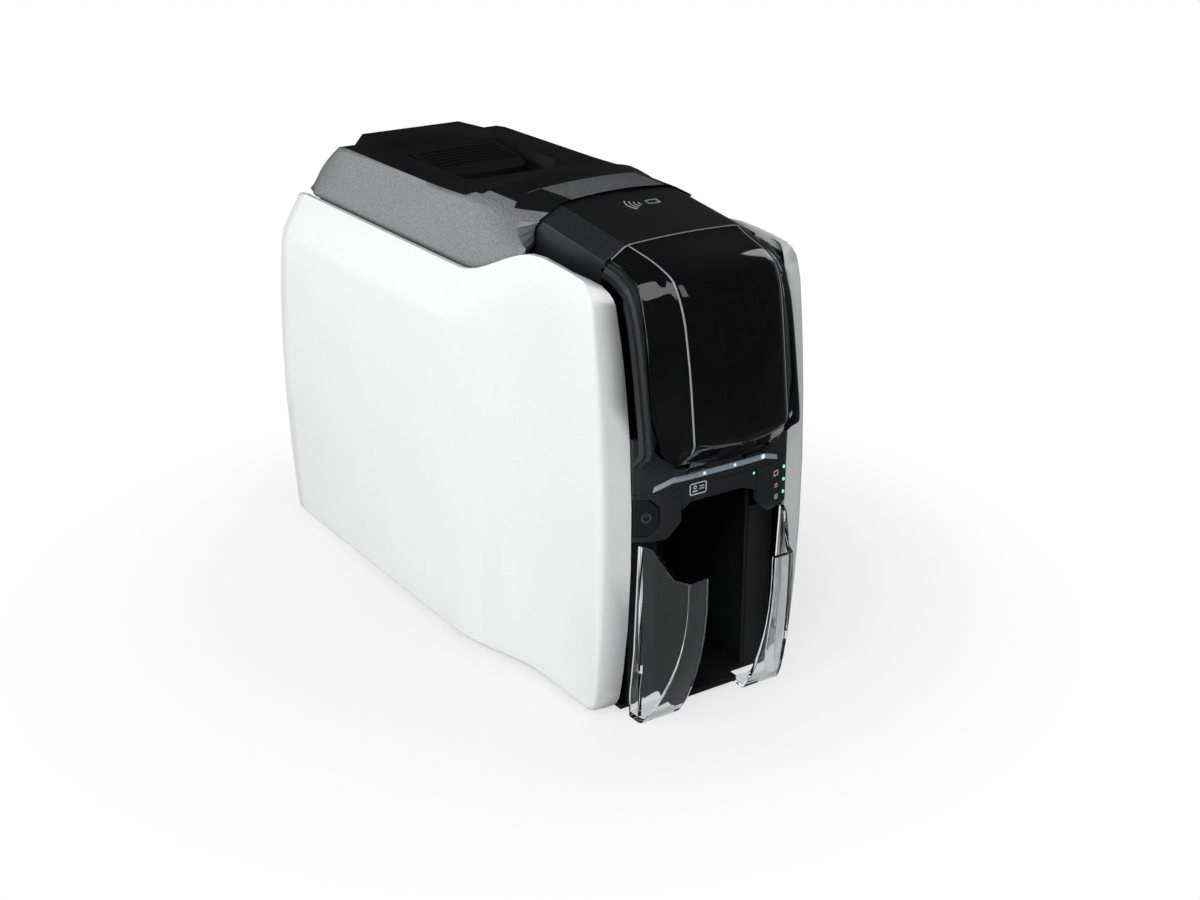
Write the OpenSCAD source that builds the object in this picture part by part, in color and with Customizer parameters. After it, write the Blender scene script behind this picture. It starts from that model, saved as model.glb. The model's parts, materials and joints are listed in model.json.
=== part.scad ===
// Slim desktop id card printer with a hinged top lid and a drop-down feeder door.
// Millimetres. X is the width, -Y is the front, Z is up, Z = 0 is the table.
// Inside the modules, y is counted from the plane of the front fascia.

/* [Overall] */
// Width over the rear of the side panels
body_w = 154; // [150:1:162]
// Width over the side panels near the front
front_w = 128; // [126:1:132]
// Depth from the fascia plane to the rear of the side panels
body_d = 359; // [352:1:372]
// How far the feeder door stands out from the fascia plane
front_reach = 25.5; // [25:0.5:27]
// Height of the top edge of the side panels, rear part
panel_h = 215; // [214:0.5:217]
// Extra height of the side panels beside the hood
panel_rise = 22; // [20:0.5:23]
// Height of the lid's front arch above the table
arch_h = 260.5; // [259.5:0.5:262]
// Height of the rubber feet that show under the base
foot_h = 3; // [2:0.5:5]
// Wall of the large plastic covers
wall = 2.5; // [2:0.1:3]
// Gap between covers that stay put
cover_gap = 0.3; // [0.2:0.05:0.5]
// Gap between pieces that move past each other
move_gap = 0.5; // [0.4:0.05:0.7]

/* [Side panels] */
// Half the width between the front rims of the two panels
rim_half = 48.6; // [48:0.1:49]
// Bow of the front edge, seen from the side
front_bow = 9.5; // [6:0.5:12]
// Bow of the rear edge, seen from the side
rear_bow = 20; // [14:0.5:24]
// Lean of the front rim
rim_lean = 2.5; // [1:0.5:4]
// Radius where the side turns into the front rim
panel_r = 4; // [2:0.5:6]
// Radius of the panel's outline corners
panel_corner_r = 13; // [8:1:16]
// Rear end of the inward step of the side
step_rear = 134; // [125:1:145]
// Front end of the inward step of the side
step_front = 66; // [60:1:75]
// Height of the sloped shoulder at the rear
shoulder_h = 25; // [18:1:30]
// Inward slope of the shoulder at the rear
shoulder_in = 10; // [8:0.5:11]
// Inward slope of the shoulder at the front
shoulder_in_front = 2; // [1:0.5:3]

/* [Top lid] */
// Rear end of the lid
lid_rear = 336; // [334:1:337]
// Front foot of the lid's arch
lid_front = 79; // [76:1:84]
// Half width of the lid's rim at the rear
lid_half = 62; // [61:0.5:63]
// Half width of the lid's rim at the front
lid_half_front = 58.3; // [57:0.1:58.6]
// Half width of the flat top
crest_half = 54; // [53:0.5:55]
// Height of the flat top
crest_h = 247.3; // [246.5:0.1:248.5]
// Rear end of the ridge line behind the arch
ridge_rear = 151; // [148:1:154]
// Height of the hump above the flat top
hump_rise = 4; // [3:0.5:5]
// Depth of the scoop round the latch paddle
scoop_depth = 11.3; // [10.5:0.1:12]
// Height of the hinge axis
lid_axis_z = 215.5; // [215:0.25:217]
// Distance of the hinge axis from the lid's rear end
lid_axis_in = 7.5; // [7.25:0.25:9]
// Radius of the hinge pins
hinge_pin_r = 2; // [1.5:0.1:2.5]
// Opening angle of the lid
lid_open = 85; // [60:5:90]

/* [Latch] */
// Half width of the latch paddle at its rear
paddle_half = 28; // [24:0.5:30]
// Front lip of the paddle
paddle_front = 211; // [206:1:216]
// Rear edge of the paddle
paddle_rear = 261.5; // [258:0.5:262]
// Thickness of the paddle
paddle_t = 4; // [3:0.5:5]
// Number of grip ribs on the paddle
paddle_ribs = 6; // [4:1:8]
// Radius of the latch pin
latch_pin_r = 1.5; // [1.2:0.1:2]
// Height of the striker bar that the hooks catch
striker_z = 205; // [200:1:210]
// Radius of the striker bar
striker_r = 1; // [0.8:0.1:1.2]

/* [Hood and fascia] */
// Half width of the hood
hood_half = 46; // [45:0.5:47]
// Height of the hood's side edge at the door seam
hood_h = 240; // [239:0.5:241]
// Rise from the hood's side edge to its top edge
hood_lift = 6.5; // [6:0.5:7]
// Rise of the hood from the door seam to the lid
hood_rise = 8.5; // [7.5:0.5:9]
// Place of the seam between hood and feeder door
seam_y = 31; // [28:0.5:34]
// Rear end of the hood
hood_rear = 97; // [94:1:99]
// How far the middle of the fascia stands out
fascia_bulge = 4.7; // [3:0.1:5.5]
// Thickness of the fascia
fascia_t = 3; // [2.5:0.1:3.5]
// Height of the seam under the fascia
fascia_seam = 129; // [127:0.5:131]

/* [Feeder door] */
// Wall of the clear door
door_wall = 2.2; // [1.8:0.1:2.6]
// Bow of the door's front across its width
door_bow = 5.1; // [4:0.1:5.5]
// Height of the door's hinge axis above the seam under the fascia
door_axis_up = 10.5; // [10:0.25:11.5]
// Distance of the hinge axis in front of the fascia
door_axis_out = 2.2; // [2.1:0.1:2.6]
// Radius of the door's hinge pins
door_pin_r = 1; // [0.8:0.1:1.2]
// Opening angle of the door
door_open = 75; // [60:5:80]

/* [Lower front] */
// Half width between the two front plates
gate_half = 23.6; // [22:0.2:24.6]
// Height of the front plates
plate_high = 26; // [25:0.5:27]
// Thickness of the front plates
plate_t = 2.5; // [2:0.1:3]
// Height of the light pipe above the seam under the fascia
pipe_up = 5.2; // [4.5:0.1:5.8]
// Thickness of the light pipe
pipe_t = 3.2; // [2.6:0.2:3.6]
// Height of the power button
button_h = 19; // [16:0.5:20]
// Travel of the power button
button_travel = 1.5; // [1:0.1:1.8]

/* [Output hopper] */
// Height of the clear cheeks at the rear
cheek_h = 101.5; // [99:0.5:102.5]
// Height of the clear cheeks at the front
cheek_front_h = 87; // [80:0.5:90]
// Half width over the cheeks at the rear
cheek_half = 46; // [45:0.5:47]
// Half width over the cheeks at the front
cheek_front_half = 33; // [31:0.5:35]
// Half width of the finger gap between the cheeks
finger_half = 21; // [18:0.5:23]
// Wall of the cheeks
cheek_wall = 2.4; // [2:0.1:3]

/* [Cards] */
// Width of a card
card_w = 53.98; // [53.98:0.01:54.1]
// Length of a card
card_l = 85.6; // [85.6:0.1:86]
// Free space left round a card
card_play = 1.2; // [0.8:0.1:1.6]
// Height of the card path
path_z = 150; // [149.5:0.25:151]

/* [Mechanism] */
// Half width between the mechanism plates
plate_half = 41; // [40:0.5:42]
// Thickness of the mechanism plates
mech_t = 1.5; // [1:0.1:2]
// Radius of the roller shafts
shaft_r = 3; // [2.5:0.1:3.5]
// Running clearance of shafts in their bores
run_gap = 0.05; // [0.02:0.01:0.09]
// Radius of the feed rollers
feed_r = 8; // [7:0.5:9]
// Radius of the pinch rollers
pinch_r = 5; // [4:0.5:6]
// Length of the feed rollers
roller_len = 60; // [56:1:66]
// Radius of the drive pulleys
pulley_r = 6; // [5:0.5:6.5]
// Thickness of the drive belts
belt_t = 1.2; // [0.8:0.1:1.5]
// Width of the drive belts
belt_w = 4; // [3:0.5:5]

/* [Print head and ribbon] */
// Place of the print head and platen along the card path
head_y = 170; // [168:1:172]
// Place of the take-up spool
takeup_y = 126; // [124:1:130]
// Place of the supply spool
supply_y = 216; // [212:1:222]
// Height of the spool axes
spool_z = 186; // [184:1:188]
// Radius of the ribbon on the supply spool
supply_r = 15; // [12:0.5:17]
// Radius of the ribbon on the take-up spool
takeup_r = 10.5; // [9:0.5:13]
// Radius of the spool cores
core_r = 7; // [6:0.5:8]

/* [Rear] */
// Width of the power inlet
inlet_w = 14; // [12:0.5:18]
// Height of the row of ports above the table
port_z = 40; // [36:1:60]
// Width of the data port
usb_w = 12; // [11:0.5:14]

/* [Hidden] */

total_d = body_d + front_reach;
front_y = front_reach - total_d / 2;
tiny = 0.01;

module from_front() { translate([0, front_y, 0]) children(); }

// Smooth step from 0 at a to 1 at b
function ramp(a, b, v) = let(t = min(1, max(0, (v - a) / (b - a)))) t * t * (3 - 2 * t);
function clamp01(v) = min(1, max(0, v));
function mix(a, b, t) = a + (b - a) * t;
// Drop of a rounded corner of radius r at distance d from the edge
function corner_drop(d, r) = d < r ? r - sqrt(max(0, r * r - (r - d) * (r - d))) : 0;
function last(v) = v[len(v) - 1];

// ---- closed shells from two grids of points ----
function grid_edge(nu, nv) = concat(
    [for (i = [0:nu - 2]) i],
    [for (j = [0:nv - 2]) j * nu + nu - 1],
    [for (i = [nu - 1:-1:1]) (nv - 1) * nu + i],
    [for (j = [nv - 1:-1:1]) j * nu]);
function grid_faces(nu, nv, base, flip) = [for (j = [0:nv - 2], i = [0:nu - 2], h = [0, 1])
    let(a = base + j * nu + i, b = a + 1, c = a + nu + 1, d = a + nu,
        t = h == 0 ? [a, b, c] : [a, c, d])
    flip ? [t[2], t[1], t[0]] : t];
function strip_faces(p, q, flip) = let(n = len(p)) [for (k = [0:n - 1], h = [0, 1])
    let(m = (k + 1) % n, t = h == 0 ? [p[k], q[k], q[m]] : [p[k], q[m], p[m]])
    flip ? [t[2], t[1], t[0]] : t];
function counts(start, n) = [for (k = [0:n - 1]) start + k];

// Outer grid, inner grid, and two rings of lip points that join their edges
module lipped_shell(nu, nv, outer, inner, lip_out, lip_in, flip) {
    n = nu * nv;
    edge = grid_edge(nu, nv);
    ring = len(edge);
    outer_edge = edge;
    inner_edge = [for (e = edge) e + n];
    lo = counts(2 * n, ring);
    li = counts(2 * n + ring, ring);
    polyhedron(
        points = concat(outer, inner, lip_out, lip_in),
        faces = concat(
            grid_faces(nu, nv, 0, flip),
            grid_faces(nu, nv, n, !flip),
            strip_faces(outer_edge, lo, flip),
            strip_faces(lo, li, flip),
            strip_faces(li, inner_edge, flip)),
        convexity = 8);
}

// Outer grid and inner grid joined along their edges
module plain_shell(nu, nv, outer, inner, flip) {
    n = nu * nv;
    edge = grid_edge(nu, nv);
    polyhedron(
        points = concat(outer, inner),
        faces = concat(
            grid_faces(nu, nv, 0, flip),
            grid_faces(nu, nv, n, !flip),
            strip_faces(edge, [for (e = edge) e + n], flip)),
        convexity = 8);
}

// ---- outline of the side, in y and z ----
mid_z = 100;
function side_front(z) = 3.2 + front_bow * pow((z - mid_z) / 115, 2);
function side_rear(z) = z > mid_z
    ? body_d - rear_bow * pow((z - mid_z) / 115, 2.2)
    : body_d - 0.75 * rear_bow * pow((z - mid_z) / 115, 2);
function side_top(y) = panel_h + panel_rise * (1 - ramp(step_front - 2, step_rear + 4, y))
    - 0.0016 * panel_rise / 22 * pow(max(0, step_front - y), 2);
function side_half(y) = mix(front_w / 2, body_w / 2, ramp(step_front, step_rear, y));
function side_low() = foot_h;

// ---- side panels ----
panel_cols = [0, 0.6, 2, 4, 8, 14, 26, 40, 54, 66, 75, 83, 91, 99, 107, 115, 123, 132, 150, 190, 240, 290,
    320, 338, 348, 354, 357];
panel_rows = [0, 0.6, 2, 4, 8, 14, 40, 75, 110, 145, 168, 182, 190, 197, 204, 208.5, 212];
col_span = last(panel_cols);
row_span = last(panel_rows);
rear_r = 12;
function panel_yz(s, t, inset) =
    let(z0 = mix(side_low() + inset, panel_h, t),
        y0 = mix(side_front(z0) + inset, side_rear(z0) - inset, s),
        front_end = corner_drop(y0 - side_front(z0), panel_corner_r),
        rear_end = corner_drop(side_rear(z0) - y0, panel_corner_r),
        z = mix(side_low() + inset + front_end + 0.8 * rear_end,
            side_top(y0) - front_end - rear_end - 0.5 * inset, t))
    [y0, z];
function panel_x(y, z, s, t) =
    let(shoulder = mix(shoulder_in_front, shoulder_in, ramp(step_front, step_rear, y)),
        high = mix(0.6, 1, ramp(step_front, step_rear, y)) * shoulder_h,
        below = side_top(y) - z,
        ys = s * col_span)
    side_half(y) - shoulder * clamp01((high - below) / high)
        - corner_drop(ys, panel_r) - corner_drop(col_span - ys, rear_r)
        - corner_drop(t * row_span, panel_r);
function panel_point(s, t, inset) =
    let(p = panel_yz(s, t, inset),
        lean = rim_lean * (1 - clamp01(s * col_span / 14)))
    [panel_x(p[0], p[1], s, t) - inset, p[0] + lean, p[1]];
panel_base = front_w / 2 - 4;
function panel_lip(s, t, inset) =
    let(p = panel_yz(s, t, inset), q = panel_point(s, t, inset),
        top = t > 1 - tiny && s > tiny && s < 1 - tiny,
        front_x = rim_half, side_x = panel_base,
        edge_x = s > 0.5 ? min(panel_base, q[0] - 1) : mix(front_x, side_x, ramp(3, 34, p[0])),
        x = top ? mix(edge_x, panel_x(p[0], p[1], s, t) - wall - tiny, ramp(40, 60, p[0])) : edge_x)
    [x, p[0], top ? p[1] + 0.5 * inset - (inset > 0 ? 1 : 0) : p[1]];

module side_panel_shell() {
    nu = len(panel_cols);
    nv = len(panel_rows);
    st = [for (r = panel_rows, c = panel_cols) [c / col_span, r / row_span]];
    edge = grid_edge(nu, nv);
    lipped_shell(nu, nv,
        [for (p = st) panel_point(p[0], p[1], 0)],
        [for (p = st) panel_point(p[0], p[1], wall)],
        [for (e = edge) panel_lip(st[e][0], st[e][1], 0)],
        [for (e = edge) panel_lip(st[e][0], st[e][1], wall)],
        true);
}
module right_panel() { color("white") from_front() side_panel_shell(); }
module left_panel() { color("white") from_front() mirror([1, 0, 0]) side_panel_shell(); }

// ---- base, frames and rear ----
frame_x = panel_base - 0.4;
frame_t = 2.5;
floor_z = foot_h + 0.3;
floor_t = 3;
floor_top = floor_z + floor_t;
bin_wall = 2;
bin_half = card_w / 2 + card_play + bin_wall;

module plate_yz(points, x, t) {
    translate([x, 0, 0]) rotate([90, 0, 90]) linear_extrude(height = t) polygon(points);
}
module bore_x(x, y, z, r, len) { translate([x, y, z]) rotate([0, 90, 0]) cylinder(h = len, r = r, $fn = 48); }

frame_low = floor_top;
rear_in = 4;
function frame_top(y) = side_top(y) - mix(4.8, 3.2, ramp(50, 80, y));
frame_outline = concat(
    [for (y = [25:10:155]) [y, frame_top(y)]],
    [[lid_rear - 16, frame_top(300)], [lid_rear - 12, frame_top(300) - 5],
        [side_rear(206) - rear_in - wall, frame_top(300) - 5]],
    [for (z = [195:-25:20]) [side_rear(z) - rear_in - wall, z]],
    [[side_rear(12) - 16, frame_low], [side_front(12) + 14, frame_low]],
    [for (z = [25:25:200]) [side_front(z) + 8, z]]);
module side_frame() {
    plate_yz(frame_outline, frame_x - frame_t, frame_t);
    // ledge that shows as the dark line under the lid's rim
    translate([frame_x - tiny, step_rear + 14, frame_top(200) - 2]) cube([3.8, lid_rear - step_rear - 28, 2]);
}
module right_side_frame() { color("#1c1e20") from_front() side_frame(); }
module left_side_frame() { color("#1c1e20") from_front() mirror([1, 0, 0]) side_frame(); }

tray_front = 13;
lip_front = 4;
tray_rear = side_rear(12) - rear_in - wall - 1;
foot_r = 7;
foot_seat = 1.2;
feet_at = [for (x = [-44, 44], y = [34, 318]) [x, y]];
// half outline of the tray, which keeps clear of the panels' lips
tray_side = [[rim_half - 0.8, tray_front], [rim_half - 0.8, 20], [frame_x - 3.1, 27],
    [frame_x - 3.1, step_front + 28], [frame_x, step_front + 28], [frame_x, tray_rear]];
module base_tray() {
    color("#1c1e20") from_front() difference() {
        union() {
            translate([0, 0, floor_z]) linear_extrude(height = floor_t) polygon(concat(
                tray_side, [for (k = [len(tray_side) - 1:-1:0]) [-tray_side[k][0], tray_side[k][1]]]));
            for (p = feet_at) translate([p[0], p[1], floor_top - tiny]) cylinder(h = 4, r = 4, $fn = 32);
            // lip under the finger gap
            translate([-finger_half, lip_front, floor_z])
                cube([2 * finger_half, tray_front - lip_front + 2, floor_t]);
        }
        for (p = feet_at) translate([p[0], p[1], floor_z - tiny])
            cylinder(h = foot_seat + tiny, r = foot_r + 0.1, $fn = 48);
        for (p = feet_at) translate([p[0], p[1], floor_z]) cylinder(h = 9, r = 1.6, $fn = 32);
    }
}
module rubber_feet() {
    color("#2a2a2a") from_front() for (p = feet_at) translate([p[0], p[1], 0]) difference() {
        cylinder(h = floor_z + foot_seat, r = foot_r, $fn = 48);
        translate([0, 0, -tiny]) cylinder(h = 2, r = 3.4, $fn = 32);
        cylinder(h = 8, r = 1.6, $fn = 32);
    }
}
module case_screws() {
    color("silver") from_front() for (p = feet_at) translate([p[0], p[1], 0]) {
        translate([0, 0, 0.4]) difference() {
            cylinder(h = 1.5, r = 3, $fn = 32);
            translate([0, 0, -tiny]) cylinder(h = 0.8, r = 1.2, $fn = 6);
        }
        translate([0, 0, 1.8]) cylinder(h = 8, r = 1.5, $fn = 32);
    }
}

rear_low = floor_top;
rear_top = panel_h - 10;
function rear_face(z) = side_rear(z) - rear_in;
rear_zs = [rear_top, 196, 185, 170, 150, 125, 100, 70, 45, 25, rear_low];
inlet_x = -22;
usb_x = 16;
module rear_cover() {
    color("#222426") from_front() difference() {
        union() {
            plate_yz(concat([for (z = rear_zs) [rear_face(z), z]],
                [for (k = [len(rear_zs) - 1:-1:0]) [rear_face(rear_zs[k]) - wall, rear_zs[k]]]),
                -frame_x + frame_t + cover_gap, 2 * (frame_x - frame_t - cover_gap));
            // narrow deck behind the lid
            translate([-frame_x + frame_t + cover_gap, lid_rear - 6, rear_top - 2])
                cube([2 * (frame_x - frame_t - cover_gap), rear_face(rear_top) - lid_rear + 5, 2]);
        }
        translate([inlet_x - inlet_w / 2, body_d - 40, port_z - 6]) cube([inlet_w, 60, 12]);
        translate([usb_x - usb_w / 2, body_d - 40, port_z - 6]) cube([usb_w, 60, 12]);
        // lock slot
        translate([40, body_d - 40, port_z - 3.5]) cube([3.2, 60, 7]);
        // cooling slots
        for (k = [0:6]) translate([-30, body_d - 60, 120 + 9 * k]) cube([60, 90, 3]);
    }
}
socket_depth = 16;
module power_inlet() {
    fit = 0.15;
    color("#303234") from_front() translate([inlet_x, rear_face(port_z) + 0.3, port_z]) difference() {
        translate([-inlet_w / 2 + fit, -socket_depth, -6 + fit])
            cube([inlet_w - 2 * fit, socket_depth, 12 - 2 * fit]);
        rotate([90, 0, 0]) translate([0, 0, -1]) cylinder(h = 11, r = 4.6, $fn = 48);
    }
    color("silver") from_front() translate([inlet_x, rear_face(port_z) - 1.5, port_z])
        rotate([90, 0, 0]) for (a = [45:90:315]) rotate([0, 0, a]) translate([2.4, 0, 0])
            cylinder(h = 8.6, r = 0.6, $fn = 24);
}
module usb_port() {
    fit = 0.15;
    color("silver") from_front() translate([usb_x, rear_face(port_z) + 0.3, port_z]) {
        difference() {
            translate([-usb_w / 2 + fit, -socket_depth, -6 + fit])
                cube([usb_w - 2 * fit, socket_depth, 12 - 2 * fit]);
            translate([-usb_w / 2 + 1.6, -10, -4.2]) cube([usb_w - 3.2, 12, 8.4]);
        }
        translate([-2.8, -11, -1.5]) cube([5.6, 9.5, 3]);
    }
}
board_w = 68;
board_d = 78;
board_up = 6;
board_y = tray_rear - board_d - 14.5;
module main_board() {
    color("#1f5a36") from_front() {
        translate([-board_w / 2, board_y, floor_top + board_up]) cube([board_w, board_d, 1.6]);
        for (x = [-1, 1], y = [6, board_d - 6]) translate([x * (board_w / 2 - 4), board_y + y, floor_top - tiny])
            cylinder(h = board_up + 2 * tiny, r = 2.5, $fn = 32);
        translate([-12, board_y + 18, floor_top + board_up + 1.5]) cube([16, 16, 2]);
        translate([12, board_y + 46, floor_top + board_up + 1.5]) cube([14, 10, 3]);
        translate([-28, board_y + 50, floor_top + board_up + 1.5]) cube([10, 16, 9]);
    }
}

// ---- fascia and hood ----
function bulge(x) = -fascia_bulge + (fascia_bulge + 2.7) * pow(abs(x) / rim_half, 4);
// side profile of the fascia beside the door, from the seam up to the hood
fascia_line = [[2, fascia_seam], [1.6, fascia_seam + 12], [-3.5, fascia_seam + 17.5], [-7.5, fascia_seam + 20.5],
    [-9.4, fascia_seam + 24.1], [-8.2, fascia_seam + 34.8], [-6, 177.1], [-3.8, 190.3], [-0.8, 205.7], [1.8, 215.8],
    [5.8, 224.6], [9.5, 230.8], [14.4, 234.1], [19, 236.1], [22.9, 237.4], [seam_y - 1, hood_h - 1.7]];
// the line moved inwards: to the rear where it is upright, down where it lies flat
function behind(line, d) = [for (p = line) let(u = ramp(220, 236, p[1])) p + d * [1 - 0.9 * u, -u]];
fascia_half = rim_half - cover_gap;
// lines of the feeder door as half width, y and z: its front corner and the edge that meets the fascia
door_front = [[33.9, seam_y, hood_h + hood_lift], [32.7, 22.8, 244.6], [31.7, 13.7, 242.5], [31.4, 4.4, 240.1],
    [30.8, -3.4, 236.7], [30.6, -7.7, 230.9], [30.1, -10.5, 224.4], [29.6, -12.4, 217.5], [29.4, -13.7, 210.4],
    [29, -16.1, 195.9], [28.9, -18.1, 181.3], [28.9, 0.966 * door_bow - front_reach, fascia_seam + 32.3],
    [28, -19.4, fascia_seam + 28], [27, -15.5, fascia_seam + 22.5], [25.5, -9.5, fascia_seam + 15]];
door_back = [[43.3, seam_y, hood_h + 0.4], [43.1, 24, 239.3], [43, 17.9, 238.2], [42.9, 8.7, 232.9],
    [43.3, 4.3, 224.9], [43.6, 1.7, 216.2], [43.7, -0.5, 207.3], [44, -2.1, 198.2], [44.2, -3.4, 189],
    [44.4, -4.7, 179.7], [44.5, -5.8, 170.2], [42.8, -6.9, fascia_seam + 34.7], [40, -8, fascia_seam + 25],
    [35.8, -8.3, fascia_seam + 18.5], [31.3, -8.5, fascia_seam + 14]];
door_rows = len(door_front);
// step of the fascia that the door's edge closes on
rebate_line = concat([[2, fascia_seam], [1.6, fascia_seam + 12], [-2.4, fascia_seam + 20], [-5, fascia_seam + 27]],
    [for (k = [11:-1:1]) [door_back[k][1] + 0.3, door_back[k][2]]], [[seam_y - 1, hood_h - 0.2]]);
rebate_half = 44.9;
fascia_corner = 46;

module fascia_slab(line, d0, d1, x0, x1) {
    a = behind(line, d0);
    b = behind(line, d1);
    plate_yz(concat(a, [for (k = [len(b) - 1:-1:0]) b[k]]), x0, x1 - x0);
}
module fascia_side() {
    fascia_slab(rebate_line, move_gap, fascia_t + 0.8, window_half, rebate_half + tiny);
    fascia_slab(fascia_line, 0, fascia_t + 0.8, rebate_half, fascia_corner);
    fascia_slab(fascia_line, fascia_t, 2 * fascia_t, fascia_corner - tiny, fascia_half);
}
// plan prism that gives the lower front its bulge
module bulge_prism(z0, z1, t) {
    xs = [for (k = [0:24]) mix(-fascia_half, fascia_half, k / 24)];
    translate([0, 0, z0]) linear_extrude(height = z1 - z0)
        polygon(concat([for (x = xs) [x, bulge(x)]], [for (k = [24:-1:0]) [xs[k], bulge(xs[k]) + t]]));
}
door_axis_z = fascia_seam + door_axis_up;
window_low = door_axis_z + 4;
window_half = 40;
window_r = 14;
door_axis_y = bulge(0) - door_axis_out;
door_pin_len = 6;
module front_fascia() {
    color("#26282b") from_front() difference() {
        union() {
            for (m = [0, 1]) mirror([m, 0, 0]) fascia_side();
            intersection() {
                bulge_prism(fascia_seam, window_low + window_r, fascia_t);
                translate([-fascia_half, -20, fascia_seam])
                    cube([2 * fascia_half, 60, window_low + window_r - fascia_seam]);
            }
            // ears that hold the door's hinge pins
            for (s = [-1, 1]) translate([s * 27 - 2.5, door_axis_y, door_axis_z]) {
                rotate([0, 90, 0]) cylinder(h = 5, r = 2, $fn = 32);
                translate([0, 0, -2]) cube([5, 5, 4]);
            }
        }
        // window of the card feeder with round lower corners
        translate([0, -20, window_low + window_r]) {
            translate([-window_half, 0, 0]) cube([2 * window_half, 40, 200]);
            translate([-window_half + window_r, 0, -window_r]) cube([2 * (window_half - window_r), 40, 200]);
            for (s = [-1, 1]) translate([s * (window_half - window_r), 40, 0])
                rotate([90, 0, 0]) cylinder(h = 40, r = window_r, $fn = 64);
        }
        // seat of the light pipe
        pipe_prism(pipe_t + cover_gap, 12);
        bore_x(-40, door_axis_y, door_axis_z, door_pin_r, 80);
    }
}

pipe_z = fascia_seam + pipe_up;
pipe_half = 39.5;
pipe_flat = 29;
module pipe_outline(t) {
    polygon([[-pipe_half, fascia_seam], [-pipe_flat, pipe_z - t / 2],
        [pipe_flat, pipe_z - t / 2], [pipe_half, fascia_seam], [pipe_half - 1, fascia_seam + t],
        [pipe_flat - 0.5, pipe_z + t / 2], [-pipe_flat + 0.5, pipe_z + t / 2],
        [-pipe_half + 1, fascia_seam + t]]);
}
module pipe_prism(t, depth) {
    intersection() {
        translate([0, depth, 0]) rotate([90, 0, 0]) linear_extrude(height = depth + 20) pipe_outline(t);
        translate([-60, -12, fascia_seam]) cube([120, 12 + depth, 20]);
    }
}
module light_pipe() {
    color("#8d979c") from_front() intersection() {
        pipe_prism(pipe_t, 6);
        bulge_prism(fascia_seam - 1, fascia_seam + 12, fascia_t + 1);
    }
}

hood_chamfer = 33.9;
hood_low = panel_h - 3;
hood_crown = 1.2;
function hood_part(y) = (y - seam_y) / (hood_rear - seam_y);
function hood_side(y) = hood_h + hood_rise * hood_part(y);
function hood_section(y, inset) =
    let(z = hood_side(y), w = hood_half - inset, c = hood_chamfer - 0.4 * inset, top = z + hood_lift - inset,
        crown = hood_crown * (1 + hood_part(y)))
    concat([[-w, hood_low], [-w, z - 0.6 * inset], [-c, top]],
        [for (k = [-2:2]) [c * k / 3, top + crown * (1 - pow(k / 3, 2))]],
        [[c, top], [w, z - 0.6 * inset], [w, hood_low]]);
module hood_loft(y0, y1, inset) {
    hull() for (y = [y0, y1]) translate([0, y, 0]) rotate([90, 0, 0])
        linear_extrude(height = tiny, center = true) polygon(hood_section(y, inset));
}
module hood() {
    color("#1b1d1f") from_front() difference() {
        union() {
            hood_loft(seam_y, hood_rear, 0);
            // ledges that close the gap to the side frames
            for (s = [-1, 1])
                translate([s > 0 ? hood_half - 1 : cover_gap + frame_t - frame_x, seam_y + 3, hood_low])
                cube([frame_x - frame_t - cover_gap - hood_half + 1, hood_rear - seam_y - 4, 2]);
        }
        hood_loft(seam_y - 1, hood_rear + 1, wall);
        // the top ends just under the lid's arch, the side walls reach further back
        translate([-60, lid_front + 11, hood_side(lid_front + 11) - 1.5]) cube([120, 20, 30]);
        // keeps clear of the fascia's ears
        translate([-60, seam_y - 6, 200]) cube([120, 6 + fascia_t, hood_h - 4 - 200]);
    }
}
// ---- feeder door ----
door_across = [0, 0.35, 0.7];
door_bows = [0.24, 0.28, 0.34, 0.42, 0.52, 0.61, 0.69, 0.77, 0.83, 0.92, 0.98, 1, 0.9, 0.6, 0.3];
function yz(p) = [p[1], p[2]];
function door_along(k) =
    let(a = yz(door_front[max(0, k - 1)]), b = yz(door_front[min(door_rows - 1, k + 1)]))
    (b - a) / norm(b - a);
// outward direction of the front at one row; the top row ends flat at the seam
function door_normal(k) = k == 0 ? [0, 1] : let(u = door_along(k)) [u[1], -u[0]];
function seam_point(p) = [seam_y - move_gap, p[1]];
// one row across the door: side wall, corner, bowed front, corner, side wall
function door_ring(k, inset) =
    let(n = door_normal(k), bow = door_bow * door_bows[k],
        wf = door_front[k][0] - 0.6 * inset, wb = door_back[k][0] - inset,
        f = k == 0 ? seam_point(yz(door_front[k])) : yz(door_front[k]),
        b = k == 0 ? seam_point(yz(door_back[k])) : yz(door_back[k]),
        fi = f - n * inset,
        side = [for (t = door_across) concat(mix(wb, wf, t), mix(b, fi, t))],
        corner = [concat(mix(wb, wf, 0.94), mix(b, fi, 0.94)), concat(wf - 1.2, fi + (0.1 + 0.08 * bow) * n)],
        front = [for (t = [0.8, 0.6, 0.4, 0.2]) concat(wf * t, fi + n * bow * (1 - t * t))],
        mid = [concat(0, fi + n * bow)],
        right = concat(side, corner, front))
    concat([for (p = right) [-p[0], p[1], p[2]]], mid, [for (m = [len(right) - 1:-1:0]) right[m]]);
door_n = 19;
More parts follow.
